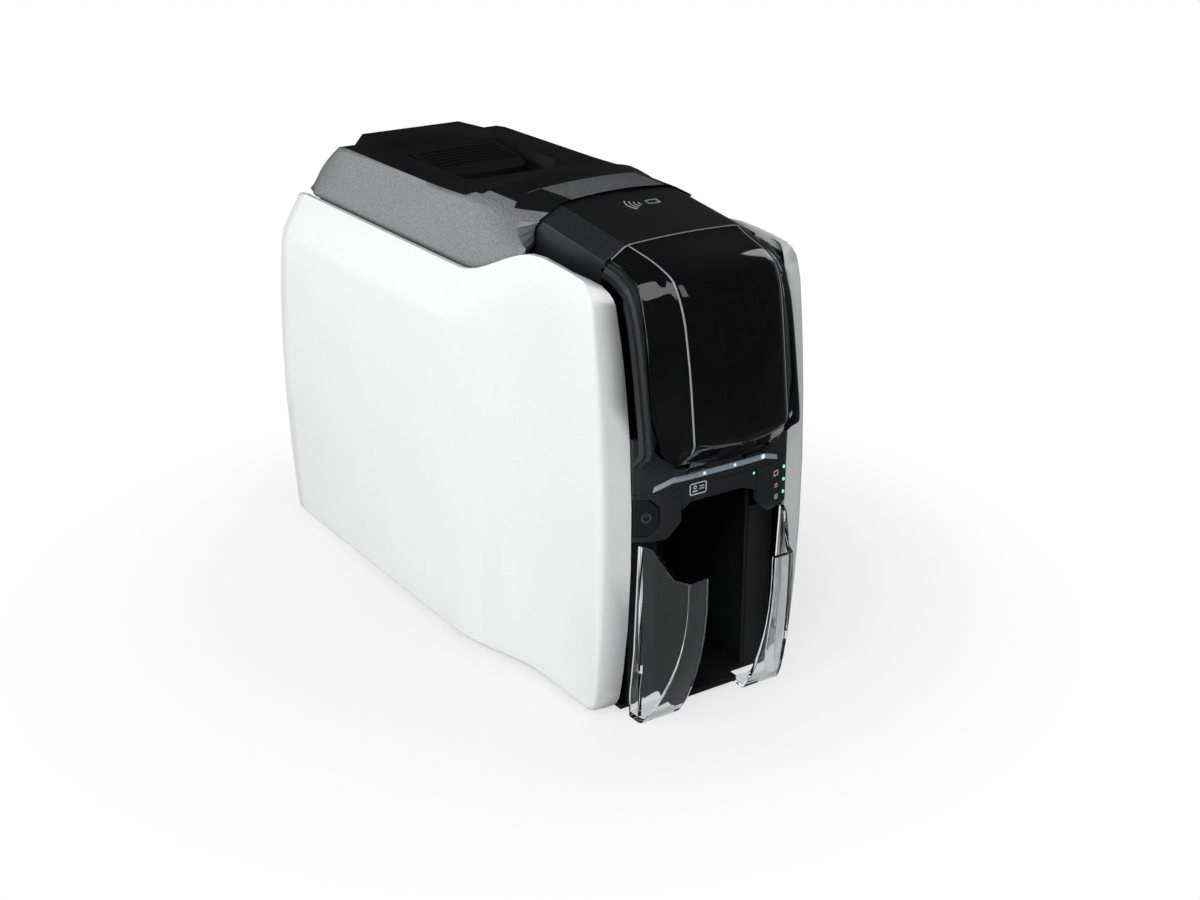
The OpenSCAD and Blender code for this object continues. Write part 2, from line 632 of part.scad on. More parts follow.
module feeder_door() {
    knuckle_r = 2;
    n = door_normal(door_rows - 1);
    foot = yz(door_front[door_rows - 1]) - door_along(door_rows - 1);
    color([0.2, 0.21, 0.22, 0.5]) from_front() difference() {
        union() {
            plain_shell(door_n, door_rows,
                [for (k = [0:door_rows - 1]) each door_ring(k, 0)],
                [for (k = [0:door_rows - 1]) each door_ring(k, door_wall)], false);
            for (s = [-1, 1]) {
                bore_x(s * 18 - 5, door_axis_y, door_axis_z, knuckle_r, 10);
                plate_yz([[door_axis_y - knuckle_r, door_axis_z], foot + 0.9 * n, foot - 1.8 * n,
                    [door_axis_y + 1, door_axis_z]], s * 18 - 5, 10);
            }
        }
        bore_x(-40, door_axis_y, door_axis_z, door_pin_r + run_gap, 80);
    }
}
module door_hinge_pins() {
    color("silver") from_front() for (s = [-1, 1])
        bore_x(s * 21.5 - 8, door_axis_y, door_axis_z, door_pin_r, 16);
}

// ---- card retainer on its sprung shaft behind the door ----
retainer_y = 8;
retainer_z = 218;
retainer_r = 1.5;
arm_half = 31;
module retainer_shaft() {
    color("silver") from_front() bore_x(-feeder_half - 3, retainer_y, retainer_z, retainer_r, 2 * feeder_half + 6);
}
module card_retainer() {
    color("#2b2d30") from_front() difference() {
        union() {
            for (s = [-1, 1]) translate([s * (bin_half - bin_wall - 2) - 1, retainer_y, retainer_z]) {
                rotate([0, 90, 0]) cylinder(h = 2, r = 3.2, $fn = 32);
                translate([0, -1.6, -20]) cube([2, 3.2, 20]);
            }
            translate([-(bin_half - bin_wall - 1), retainer_y - 1.6, retainer_z - 21])
                cube([2 * (bin_half - bin_wall - 1), 3.2, 3.4]);
        }
        bore_x(-40, retainer_y, retainer_z, retainer_r + run_gap, 80);
    }
}
// points of a coil round the x axis
function coil_path(r, turns, len, per) = [for (k = [0:turns * per])
    let(a = 360 * k / per) [len * (k / (turns * per) - 0.5), r * cos(a), r * sin(a)]];
module tube_along(path, r, sides) {
    n = len(path);
    rings = [for (k = [0:n - 1])
        let(d = path[min(n - 1, k + 1)] - path[max(0, k - 1)], t = d / norm(d),
            out = [0, path[k][1], path[k][2]], o = out / norm(out),
            u = (o - t * (o * t)) / norm(o - t * (o * t)), v = cross(t, u))
        [for (s = [0:sides - 1]) path[k] + r * (cos(360 * s / sides) * u + sin(360 * s / sides) * v)]];
    polyhedron(
        points = [for (g = rings) each g],
        faces = concat(
            [for (k = [0:n - 2], s = [0:sides - 1], h = [0, 1])
                let(a = k * sides + s, b = k * sides + (s + 1) % sides, c = b + sides, d = a + sides)
                h == 0 ? [a, c, b] : [a, d, c]],
            [[for (s = [0:sides - 1]) s]],
            [[for (s = [sides - 1:-1:0]) (n - 1) * sides + s]]),
        convexity = 10);
}
// least gap of a coil's wire to itself, measured between its points from half a turn to two turns apart
function coil_gap(path, wire) =
    min([for (d = [4:16], k = [0:len(path) - 1 - d]) norm(path[k + d] - path[k])]) - 2 * wire;
module coil(path, wire) { tube_along(path, wire, 6); }
retainer_coil = coil_path(2.5, 12, 26, 8);
retainer_wire = 0.4;
latch_coil = coil_path(2.3, 10, 18, 8);
latch_wire = 0.35;
echo(retainer_spring_gap = coil_gap(retainer_coil, retainer_wire));
echo(latch_spring_gap = coil_gap(latch_coil, latch_wire));
module retainer_spring() {
    color("silver") from_front() translate([0, retainer_y, retainer_z]) coil(retainer_coil, retainer_wire);
}

// ---- lower front ----
lower_top = fascia_seam - cover_gap;
plate_low = fascia_seam - plate_high;
module lower_front(x0, x1) {
    intersection() {
        bulge_prism(plate_low - 6, lower_top, plate_t);
        translate([x0, -20, plate_low - 6]) cube([x1 - x0, 60, 60]);
    }
}
plate_chamfer = 8;
module plate_outline(s) {
    polygon([[s * fascia_half, lower_top], [s * gate_half, lower_top], [s * gate_half, plate_low + plate_chamfer],
        [s * (gate_half + plate_chamfer), plate_low], [s * fascia_half, plate_low]]);
}
module front_plate(s) {
    intersection() {
        lower_front(-fascia_half, fascia_half);
        translate([0, 60, 0]) rotate([90, 0, 0]) linear_extrude(height = 90) plate_outline(s);
    }
    // return wall that carries the plate on the side frame
    translate([s > 0 ? fascia_half - 2 : -fascia_half, 4.4, plate_low]) cube([2, 12, lower_top - plate_low]);
}
module gate_strip() {
    // strip with the card pictogram, above the mouth of the output bay
    color("#232527") from_front() intersection() {
        bulge_prism(plate_low - 6, lower_top, plate_t + 0.5);
        translate([0, 60, 0]) rotate([90, 0, 0]) linear_extrude(height = 90) polygon([
            [-gate_half + cover_gap, lower_top], [-gate_half + cover_gap, lower_top - 11.7],
            [-gate_half + 6, lower_top - 8.2], [gate_half - 10, lower_top - 8.2],
            [gate_half - cover_gap, lower_top - 11.7], [gate_half - cover_gap, lower_top]]);
    }
}
button_z = (plate_low + lower_top) / 2;
button_side = fascia_half - 0.4;
module button_outline(grow) {
    h = button_h / 2 + grow;
    w = 12 + grow;
    c = 5;
    polygon([[-button_side - grow, -h], [-button_side + w - c, -h], [-button_side + w, -h + c],
        [-button_side + w, h - c], [-button_side + w - c, h], [-button_side - grow, h]]);
}
module left_front_plate() {
    color("#2a2c2f") from_front() difference() {
        front_plate(-1);
        translate([0, 20, button_z]) rotate([90, 0, 0])
            linear_extrude(height = 60) button_outline(move_gap - 0.1);
    }
    // seat of the button's spring
    color("#2a2c2f") from_front() {
        translate([-46, seat_y, plate_low + 0.4]) cube([12, 2, lower_top - plate_low - 0.8]);
        for (z = [plate_low + 0.4, lower_top - 2]) translate([-46, 1, z]) cube([12, seat_y - 1 + tiny, 1.6]);
    }
}
module power_button() {
    color("#17191b") from_front() {
        intersection() {
            translate([0, -0.2, 0]) bulge_prism(button_z - 12, button_z + 12, 3);
            translate([0, 20, button_z]) rotate([90, 0, 0]) linear_extrude(height = 60) button_outline(0);
        }
        translate([-40.5, bulge(40) + 1.5, button_z]) rotate([-90, 0, 0]) cylinder(h = 4, r = 1.4, $fn = 32);
    }
}
seat_y = 12.4;
module button_spring() {
    y0 = bulge(40.5 + 2.6) + 2.8 + button_travel + 0.3;
    color("silver") from_front() translate([-40.5, y0, button_z]) rotate([-90, 0, 0]) difference() {
        cylinder(h = seat_y - 0.1 - y0, r = 2.6, $fn = 32);
        translate([0, 0, -1]) cylinder(h = 20, r = 1.8, $fn = 32);
    }
}
lamp_zs = [button_z - 7, button_z, button_z + 7];
lamp_x = 45.6;
module control_panel() {
    color("#202225") from_front() difference() {
        front_plate(1);
        for (z = lamp_zs) translate([lamp_x, 20, z]) rotate([90, 0, 0]) cylinder(h = 60, r = 0.85, $fn = 24);
    }
}
module status_lamps() {
    color("#35d060") from_front() for (z = lamp_zs) translate([lamp_x, bulge(lamp_x) + 3, z])
        rotate([90, 0, 0]) cylinder(h = 3.2, r = 0.8, $fn = 24);
}

// ---- clear hopper cheeks ----
function cheek_bow(z) = 22 * pow(max(0, 78 - z) / 78, 2.1);
cheek_low = 1.2;
cheek_rear_y = 1;
cheek_nose = -front_reach + 1;
// the cheeks' outline seen from the side
function cheek_side(d) = concat(
    [[cheek_rear_y, cheek_h - d], [-6, cheek_h - d], [-17, cheek_front_h - d * 1.2]],
    [for (z = [cheek_front_h:-9.5:cheek_low + 4]) [cheek_nose + cheek_bow(z) + d, z - (z > 80 ? d : 0)]],
    [[cheek_nose + cheek_bow(3) + 2.5 + d, cheek_low + d], [8 , cheek_low + d], [8, 14], [cheek_rear_y + 3.6, 40]]);
module cheek_plan(d) {
    polygon([[cheek_half - d, 9], [cheek_half - d, cheek_rear_y - 1 - d],
        [cheek_front_half - 0.8 * d, cheek_nose + d],
        [finger_half, cheek_nose - 1 + d], [finger_half, 9]]);
}
module cheek_solid(d) {
    intersection() {
        plate_yz(cheek_side(d), 0, 60);
        translate([0, 0, -1]) linear_extrude(height = 120) cheek_plan(d);
    }
}
module cheek() {
    difference() {
        cheek_solid(0);
        difference() {
            intersection() {
                plate_yz(cheek_side(0), 0, 60);
                translate([-1, 0, cheek_low + cheek_wall]) linear_extrude(height = 120)
                    polygon([[cheek_half - cheek_wall + 1, 10], [cheek_half - cheek_wall + 1, cheek_rear_y - 1.6],
                        [cheek_front_half - 0.4 * cheek_wall, cheek_nose + cheek_wall],
                        [finger_half, cheek_nose - 1 + cheek_wall], [finger_half - 5, cheek_nose - 5],
                        [finger_half - 5, 10]]);
            }
            // the curved front wall keeps its thickness
            plate_yz(concat([for (z = [130:-9.5:cheek_low]) [cheek_nose - 30, z]],
                [for (k = [0:14]) let(z = mix(cheek_low, 130, k / 14))
                    [cheek_nose + cheek_bow(z) + cheek_wall, z]]), 0, 60);
        }
        // window of the rear clip
        translate([cheek_half - 6, -1, 30]) cube([8, 4, 5]);
    }
}
module hopper_cheek_right() { color([0.75, 0.8, 0.82, 0.5]) from_front() cheek(); }
module hopper_cheek_left() { color([0.75, 0.8, 0.82, 0.5]) from_front() mirror([1, 0, 0]) cheek(); }

// ---- output bin and feeder tray ----
bin_front = 10;
bin_back = bin_front + card_l - 12;
bin_top = 100;
bin_side_top = 131;
module output_bin() {
    color("#131415") from_front() {
        translate([-bin_half, bin_front, floor_top]) cube([2 * bin_half, bin_back - bin_front, bin_wall]);
        for (s = [-1, 1]) translate([s > 0 ? bin_half - bin_wall : -bin_half, bin_front, floor_top])
            cube([bin_wall, bin_back - bin_front, bin_side_top - floor_top]);
        translate([-bin_half, bin_back - bin_wall, floor_top]) cube([2 * bin_half, bin_wall, bin_top - floor_top]);
        // front flanges that close the gap to the cheeks
        for (s = [-1, 1]) translate([s > 0 ? bin_half - tiny : -fascia_half + 2.4, bin_front - 0.4, floor_top])
            cube([fascia_half - 2.4 - bin_half, 2, plate_low - 2 - floor_top]);
    }
}

feeder_half = card_w / 2 + card_play + 2.2;
feeder_front = 4;
feeder_back = feeder_front + card_l + 2 * card_play;
tray_t = 3;
feeder_top = 236;
slot_half = roller_len / 2 + 1;
module feeder_tray() {
    color("#18191b") from_front() difference() {
        union() {
            translate([-feeder_half, feeder_front, path_z - tray_t])
                cube([2 * feeder_half, feeder_back - feeder_front + 2, tray_t]);
            for (s = [-1, 1]) translate([s > 0 ? feeder_half - 2.2 : -feeder_half, feeder_front, path_z - tray_t]) {
                cube([2.2, feeder_back - feeder_front, retainer_z + 6 - path_z + tray_t]);
            }
            translate([-feeder_half, feeder_back, path_z + 2]) cube([2 * feeder_half, 2, 66]);
            // feet on the mechanism plates
            for (s = [-1, 1])
                translate([s > 0 ? feeder_half - tiny : -plate_half + cover_gap, feeder_back - 12, path_z - tray_t])
                    cube([plate_half - cover_gap - feeder_half, 12, 8]);
            // brackets to the fascia
            for (s = [-1, 1]) translate([s > 0 ? feeder_half - tiny : -44, feeder_front - 1.8, path_z + 40])
                cube([44 - feeder_half, 4.2, 8]);
        }
        bore_x(-slot_half, pick_y, roller_z, feed_r + 1.5, 2 * slot_half);
        for (s = [-1, 1]) bore_x(s * feeder_half - 6, retainer_y, retainer_z, retainer_r, 12);
    }
}

// ---- rollers, plates and belts ----
pick_y = 62;
front_feed_y = 115;
rear_feed_y = 236;
roller_z = path_z - feed_r;
clean_y = 100.5;
exit_y = 92;
exit_z = 118;
mech_low = 96;
mech_high = 166;
mech_front = 74;
mech_rear = 246;
card_gap = 0.8;
pinch_z = path_z + card_gap + pinch_r;
spindle_half = plate_half + mech_t;
shaft_out = 7;

module mech_plate() {
    // one plate with bores for every shaft and feet that reach the floor
    difference() {
        union() {
            plate_yz([[mech_front, mech_low], [mech_rear, mech_low], [mech_rear, mech_high], [mech_front, mech_high]],
                plate_half, mech_t);
            for (y = [bin_back + 4, mech_rear - 14]) translate([plate_half, y, floor_top]) {
                cube([mech_t, 14, mech_low - floor_top + tiny]);
                cube([10, 14, mech_t]);
            }
            translate([plate_half, pick_y - 10, roller_z - 10]) cube([mech_t, mech_front - pick_y + 11, 18]);
            // flange that meets the side frame
            translate([plate_half, mech_rear - 12, mech_high - mech_t])
                cube([frame_x - frame_t - plate_half, 12, mech_t]);
        }
        for (y = [pick_y, front_feed_y, head_y, rear_feed_y])
            bore_x(plate_half - 1, y, roller_z, shaft_r + run_gap, mech_t + 2);
        for (y = [front_feed_y, rear_feed_y]) bore_x(plate_half - 1, y, pinch_z, 2 + run_gap, mech_t + 2);
        bore_x(plate_half - 1, clean_y, pinch_z, 2 + run_gap, mech_t + 2);
        bore_x(plate_half - 1, exit_y, exit_z, 2 + run_gap, mech_t + 2);
    }
}
module right_mech_plate() { color("#9aa0a4") from_front() mech_plate(); }
module left_mech_plate() {
    color("#9aa0a4") from_front() difference() {
        mirror([1, 0, 0]) mech_plate();
        bore_x(-plate_half - mech_t - 1, motor_y, motor_z, 6, mech_t + 2);
    }
}

module shaft_x(r, y, z, x0, x1) { bore_x(x0, y, z, r, x1 - x0); }
belt_x = -plate_half - mech_t - 1.5;
module pulley(y, z, r, x) {
    bore_x(x - belt_w, y, z, r, belt_w);
    bore_x(x - belt_w - 1, y, z, r + 1.6, 1);
}
module driven_roller(y, rubber_color) {
    color(rubber_color) bore_x(-roller_len / 2, y, roller_z, feed_r - 0.3, roller_len);
    color("silver") shaft_x(shaft_r, y, roller_z, belt_x - belt_w - 1, spindle_half + 1.5);
    color("#d8d4c8") pulley(y, roller_z, pulley_r, belt_x);
}
module pick_roller() { from_front() driven_roller(pick_y, "#3a3a3c"); }
module front_feed_roller() { from_front() driven_roller(front_feed_y, "#4a4a4d"); }
module rear_feed_roller() { from_front() driven_roller(rear_feed_y, "#4a4a4d"); }
module platen_roller() {
    from_front() {
        driven_roller(head_y, "#2c2c2e");
        color("#d8d4c8") pulley(head_y, roller_z, big_pulley_r, belt_x - belt_w - 1.4);
        color("silver") shaft_x(shaft_r, head_y, roller_z, belt_x - 2 * belt_w - 3, belt_x);
    }
}
module idle_roller(y, z, r) {
    color("#4a4a4d") bore_x(-roller_len / 2, y, z, r - 0.3, roller_len);
    color("silver") shaft_x(2, y, z, -spindle_half - 1, spindle_half + 1);
}
module front_pinch_roller() { from_front() idle_roller(front_feed_y, pinch_z, pinch_r); }
module rear_pinch_roller() { from_front() idle_roller(rear_feed_y, pinch_z, pinch_r); }
module cleaning_roller() { from_front() idle_roller(clean_y, pinch_z, pinch_r); }
module exit_roller() { from_front() idle_roller(exit_y, exit_z, pinch_r); }

// belt as a slot-shaped loop round two pulleys
module belt_loop(y0, z0, r0, y1, z1, r1, x) {
    gap = 0.25;
    translate([x - belt_w + 0.2, 0, 0]) rotate([90, 0, 90]) linear_extrude(height = belt_w - 0.4) difference() {
        hull() {
            translate([y0, z0]) circle(r = r0 + gap + belt_t, $fn = 64);
            translate([y1, z1]) circle(r = r1 + gap + belt_t, $fn = 64);
        }
        hull() {
            translate([y0, z0]) circle(r = r0 + gap, $fn = 64);
            translate([y1, z1]) circle(r = r1 + gap, $fn = 64);
        }
    }
}
module feed_belt() {
    color("#202020") from_front() belt_loop(pick_y, roller_z, pulley_r, rear_feed_y, roller_z, pulley_r, belt_x);
}
motor_y = 196;
motor_z = 112;
big_pulley_r = 9;
motor_pulley_r = 4.5;
motor_r = 17;
motor_len = 30;
module drive_motor() {
    color("#55585c") from_front() difference() {
        union() {
            bore_x(-plate_half + 0.02, motor_y, motor_z, motor_r, motor_len);
            translate([-plate_half + 0.02, motor_y - 12, floor_top]) cube([2, 24, motor_z - floor_top]);
        }
        bore_x(-plate_half - 1, motor_y, motor_z, 2 + run_gap, 24);
    }
}
module motor_pulley() {
    from_front() {
        color("#d8d4c8") pulley(motor_y, motor_z, motor_pulley_r, belt_x - belt_w - 1.4);
        color("silver") shaft_x(2, motor_y, motor_z, belt_x - 2 * belt_w - 2.4, -plate_half + 20);
    }
}
module motor_belt() {
    color("#202020") from_front()
        belt_loop(motor_y, motor_z, motor_pulley_r, head_y, roller_z, big_pulley_r, belt_x - belt_w - 1.4);
}

// ---- ribbon ----
cart_half = 35;
cart_t = 2;
film_half = 29;
module ribbon_cartridge() {
    // two cheeks joined by a handle bar over each spool; it stands on the mechanism plates
    color("#3c4045") from_front() difference() {
        union() {
            for (s = [-1, 1]) {
                translate([s > 0 ? cart_half : -cart_half - cart_t, 0, 0])
                    plate_yz([[takeup_y - takeup_r - 6, spool_z - 14], [takeup_y + 14, path_z + 18],
                        [supply_y - 18, path_z + 18], [supply_y + supply_r + 6, spool_z - 14],
                        [supply_y + supply_r + 6, spool_z + 12], [supply_y - 16, spool_z + 12],
                        [supply_y - 22, path_z + 26], [takeup_y + 18, path_z + 26],
                        [takeup_y + 12, spool_z + 12], [takeup_y - takeup_r - 6, spool_z + 12]], 0, cart_t);
                // tab on the mechanism plate
                for (y = [takeup_y + 18, supply_y - 22])
                    translate([s > 0 ? cart_half : -plate_half - mech_t, y - 4, mech_high + 0.05])
                        cube([plate_half + mech_t - cart_half, 8, 3]);
            }
            for (y = [takeup_y - takeup_r - 3, supply_y + supply_r + 4])
                translate([-cart_half - tiny, y - 2, spool_z - 13]) cube([2 * cart_half + 2 * tiny, 3, 3]);
        }
        for (y = [takeup_y, supply_y]) bore_x(-60, y, spool_z, 4 + run_gap, 120);
    }
}
module spool(y, r) {
    color("#e4e0d4") {
        bore_x(-film_half - 2, y, spool_z, core_r, 2 * film_half + 4);
        bore_x(-cart_half - cart_t - 1, y, spool_z, 4, 2 * (cart_half + cart_t + 1));
    }
    color("#4a3a20") bore_x(-film_half, y, spool_z, r, 2 * film_half);
}
module supply_spool() { from_front() spool(supply_y, supply_r); }
module takeup_spool() {
    from_front() {
        spool(takeup_y, takeup_r);
        color("#e4e0d4") bore_x(-plate_half - mech_t - 5, takeup_y, spool_z, 3, 12);
    }
}
film_low = path_z + 1.5;
module ribbon_film() {
    t = 0.25;
    gap = 0.4;
    p = [[supply_y - supply_r - gap - t, spool_z], [head_y + 9, film_low + 0.2], [head_y - 9, film_low + 0.2],
        [takeup_y + takeup_r + gap + t, spool_z]];
    q = [[takeup_y + takeup_r + gap, spool_z], [head_y - 9.2, film_low - t], [head_y + 9.2, film_low - t],
        [supply_y - supply_r - gap, spool_z]];
    color("#5a4a2c") from_front() plate_yz(concat(p, q), -film_half, 2 * film_half);
}
// spur gear with straight flanks that leave free play
module gear_outline(teeth, module_size, turn) {
    rp = teeth * module_size / 2;
    ra = rp + 0.85 * module_size;
    rf = rp - 1.15 * module_size;
    step = 360 / teeth;
    polygon([for (k = [0:teeth - 1]) each [for (q = [[-0.30, rf], [-0.13, ra], [0.13, ra], [0.30, rf]])
        let(a = turn + step * (k + q[0])) q[1] * [cos(a), sin(a)]]]);
}
module gear_x(y, z, teeth, turn, x, w, bore) {
    translate([x, y, z]) rotate([90, 0, 90]) linear_extrude(height = w) difference() {
        gear_outline(teeth, gear_m, turn);
        circle(r = bore, $fn = 32);
    }
}
gear_m = 1;
takeup_teeth = 28;
pinion_teeth = 12;
gear_x0 = -plate_half - mech_t - 5;
gear_w = 3.5;
pinion_y = takeup_y + (takeup_teeth + pinion_teeth) * gear_m / 2;
module takeup_gear() {
    // fixed to the end of the take-up spindle
    color("#d8d4c8") from_front() gear_x(takeup_y, spool_z, takeup_teeth, 0, gear_x0, gear_w, 3);
}
module ribbon_pinion() {
    from_front() {
        color("#c8b060") gear_x(pinion_y, spool_z, pinion_teeth, 180 + 180 / pinion_teeth, gear_x0, gear_w, 1);
        color("silver") shaft_x(1, pinion_y, spool_z, gear_x0 - 9, gear_x0 + gear_w);
    }
}
ribbon_motor_len = 10;
module ribbon_motor() {
    x1 = gear_x0 - 0.8;
    color("#55585c") from_front() difference() {
        union() {
            bore_x(-frame_x + frame_t + 0.05, pinion_y, spool_z, 9, x1 + frame_x - frame_t - 0.05);
            translate([-frame_x + frame_t + 0.05, pinion_y - 13, spool_z - 5]) cube([1.5, 26, 10]);
        }
        bore_x(gear_x0 - 9.4, pinion_y, spool_z, 1 + run_gap, 20);
    }
}

// ---- print head, carried by the lid ----
head_half = 33;
head_tip = film_low + 0.9;
head_top = head_tip + 25.6;
bracket_z = head_top + 26;
module print_head() {
    color("#c9cdd0") from_front() difference() {
        union() {
            plate_yz([[head_y - 2, head_tip], [head_y + 2, head_tip], [head_y + 5, head_tip + 6],
                [head_y + 5, head_top], [head_y - 5, head_top], [head_y - 5, head_tip + 6]], -head_half, 2 * head_half);
            // cooling fins
            for (k = [0:3]) translate([-head_half + 2, head_y - 5 + 2.8 * k, head_top - tiny])
                cube([2 * head_half - 4, 1.6, 8]);
        }
        for (s = [-1, 1]) translate([s * 20, head_y, head_top - 6]) cylinder(h = 20, r = 4.5, $fn = 32);
    }
}
module head_bracket() {
    boss_top = lid_z(28, head_y + 4) - wall - 0.25;
    color("#8b9196") from_front() {
        translate([-38, head_y - 10, bracket_z]) cube([76, 20, 1.6]);
        for (s = [-1, 1]) {
            translate([s > 0 ? head_half + 0.4 : -head_half - 1.6, head_y - 8, head_top - 8])
                cube([1.2, 16, bracket_z - head_top + 8.1]);
            translate([s > 0 ? head_half + 0.05 : -head_half - 1.6, head_y - 4, head_top - 8]) cube([1.55, 8, 5]);
            // bosses up to the lid
            translate([s * 28, head_y, bracket_z + 1.5]) cylinder(h = boss_top - bracket_z - 1.5, r = 4, $fn = 32);
        }
    }
}
module head_springs() {
    color("silver") from_front() for (s = [-1, 1]) translate([s * 20, head_y, head_top - 5.7]) difference() {
        cylinder(h = bracket_z - head_top + 5.4, r = 4, $fn = 32);
        translate([0, 0, -1]) cylinder(h = 40, r = 3, $fn = 32);
    }
}

// ---- top lid ----
lid_axis_y = lid_rear - lid_axis_in;
function lid_rim_half(y) = mix(lid_half_front, lid_half, ramp(step_front + 14, step_rear + 10, y))
    - 5 * ramp(lid_rear - 18, lid_rear + 2, y);
function lid_rim_z(y) = side_top(y) - 1;
function lid_crest_half(y) = mix(48, crest_half, ramp(95, 148, y));
// value at v in a table of pairs
function along(v, table, k = 0) = k >= len(table) - 2 || v < table[k + 1][0]
    ? mix(table[k][1], table[k + 1][1], clamp01((v - table[k][0]) / (table[k + 1][0] - table[k][0])))
    : along(v, table, k + 1);
// arch over the front, which falls away to both sides
function arch_top(x, y) = arch_h - mix(15.2, 11.8, ramp(105, 145, y)) * pow(min(1, abs(x) / lid_crest_half(y)), 2.75);
// crease where the arch ends and the bowl before the paddle begins
function ridge_y(x) = ridge_rear - 22 + 22 * pow(min(1, abs(x) / 55), 3);
function bowl(x, y) = 1 - pow(1 - clamp01((y - ridge_y(x)) / 50), 2);
hump_half = 33;
hump_front = paddle_rear + 3.2;
hump_peak = hump_front + 15.5;
hump_rear = hump_front + 45.8;
function hump_z(x, y) = y < hump_front ? 0 :
    crest_h + hump_rise * clamp01((y - hump_front) / (hump_peak - hump_front))
        - 1.7 * clamp01((y - hump_peak) / (hump_rear - hump_peak))
        - max(0, y - hump_rear) - 1.1 * max(0, abs(x) - hump_half);
function scoop_shape(x, y) = scoop_depth * (1 - ramp(paddle_half + 1, paddle_half + 5, abs(x)))
    * ramp(ridge_rear + 30, paddle_front - 4, y) * (1 - ramp(hump_front - 1.2, hump_front, y));
// height of the outer surface of the lid
function lid_z(x, y) =
    let(w = lid_rim_half(y), c = min(w - 3, lid_crest_half(y)), q = clamp01((w - abs(x)) / (w - c)),
        f = pow(q, mix(0.6, 0.92, ramp(90, 150, y))) * pow(clamp01((lid_rear - y) / 38), 0.7),
        top = mix(arch_top(x, y), crest_h, bowl(x, y)) - scoop_shape(x, y))
    max(mix(lid_rim_z(y) + 1.5, top, f), hump_z(x, y));
lid_mid = ridge_rear + 12;
// rows up to 1 run from the arch's edge to lid_mid, with the crease at 0.5; the others are y values
lid_rows = concat([0, 0.015, 0.05, 0.12, 0.22, 0.32, 0.42, 0.5, 0.56, 0.65, 0.76, 0.88, 1],
    [for (k = [1:8]) mix(lid_mid, paddle_front - 4, k / 8)],
    [for (k = [1:3]) mix(paddle_front - 4, hump_front - 1.2, k / 3)],
    [for (d = [0, 1.5, 4.5, 8, 12, 15.5, 25, 35, 43, 45.8, 48, 50.3]) hump_front + d],
    [for (k = [1:8]) lid_rear - (lid_rear - hump_rear - 4.5) * pow(1 - k / 8, 1.5)]);
// signed position across the lid: rim, flank, crest, flat top
flat_steps = concat([1, 0.93, 0.86],
    [for (x = [hump_half + 8, hump_half + 4, hump_half, paddle_half + 3, paddle_half + 1, 20, 10]) x / crest_half]);
lid_across = concat(
    [for (q = [0, 0.06, 0.2, 0.42, 0.68, 0.9]) [-1, q, 0]],
    [for (t = flat_steps) [-1, 1, t]],
    [[1, 1, 0]],
    [for (k = [len(flat_steps) - 1:-1:0]) [1, 1, flat_steps[k]]],
    [for (q = [0.9, 0.68, 0.42, 0.2, 0.06, 0]) [1, q, 0]]);
function lid_x_at(a, y, inset) =
    let(w = lid_rim_half(y), c = min(w - 3, lid_crest_half(y)))
    a[0] * (a[1] < 1 ? mix(w - inset, c - 0.6 * inset, a[1]) : (c - 0.6 * inset) * a[2]);
// y of the arch's front edge over the half width
arch_edge = [[0, 26], [10, 26.5], [20, 28.5], [30, 34], [36, 38], [40, 38], [44, 35.7], [48, 30], [53, 21],
    [56.5, 12.4], [58.3, 5]];
function lid_y_at(a, r, inset) =
    let(front = lid_front + along(abs(lid_x_at(a, 100, inset)), arch_edge) + inset,
        crease = ridge_y(lid_x_at(a, ridge_rear - 6, inset)))
    r > 1 ? r - inset * clamp01((r - lid_rear + 20) / 20)
        : r < 0.5 ? mix(front, crease, 2 * r) : mix(crease, lid_mid, 2 * r - 1);
// the inner surface also keeps its distance from the steep walls of the pocket
function lid_inner_z(x, y, inset) =
    let(w = lid_rim_half(y), g = sign(x))
    min(lid_z(g * min(w, abs(x) + 0.35 * inset), y), lid_z(g * max(0, abs(x) - 1.8), y), lid_z(x, y - 1.8)) - inset;
function lid_point(a, r, inset) =
    let(y = lid_y_at(a, r, inset), x = lid_x_at(a, y, inset),
        z = inset == 0 ? lid_z(x, y) : lid_inner_z(x, y, inset))
    [x, y, a[1] == 0 ? lid_rim_z(y) + (inset > 0 ? 0 : 1.5) : max(z, lid_rim_z(y) + tiny)];
// lips: a short skirt round the rim, and the band of the arch down to the hood
function hood_top(x, y, gap) =
    let(z = hood_side(y), w = hood_half + gap, c = hood_chamfer)
    abs(x) > c ? mix(z + hood_lift + gap, z + 0.5 * gap, clamp01((abs(x) - c) / (w - c)))
        : z + hood_lift + gap + 2 * hood_crown * (1 - pow(x / c, 2));
arch_gap = 1.4;
function arch_band_y(a) = lid_front + 8 + (a[1] < 1 ? 5.5 - 5 * ramp(0.55, 1, a[1]) : 0.5 * a[2]);
function lid_lip(a, r, inset) =
    let(p = lid_point(a, r, inset))
    r > tiny ? [p[0], p[1], lid_rim_z(p[1])] :
    let(w = hood_half + arch_gap, y = arch_band_y(a) + 0.35 * inset,
        x = a[0] * (a[1] < 1 ? w : w * min(1, a[2] * 1.02)),
        z = a[1] < 1 ? mix(side_top(lid_front) - 1, hood_top(w, y, arch_gap), a[1])
            : hood_top(min(w, abs(x)), y, arch_gap))
    [x, y, inset > 0 && a[1] == 1 ? z - 0.6 : z];

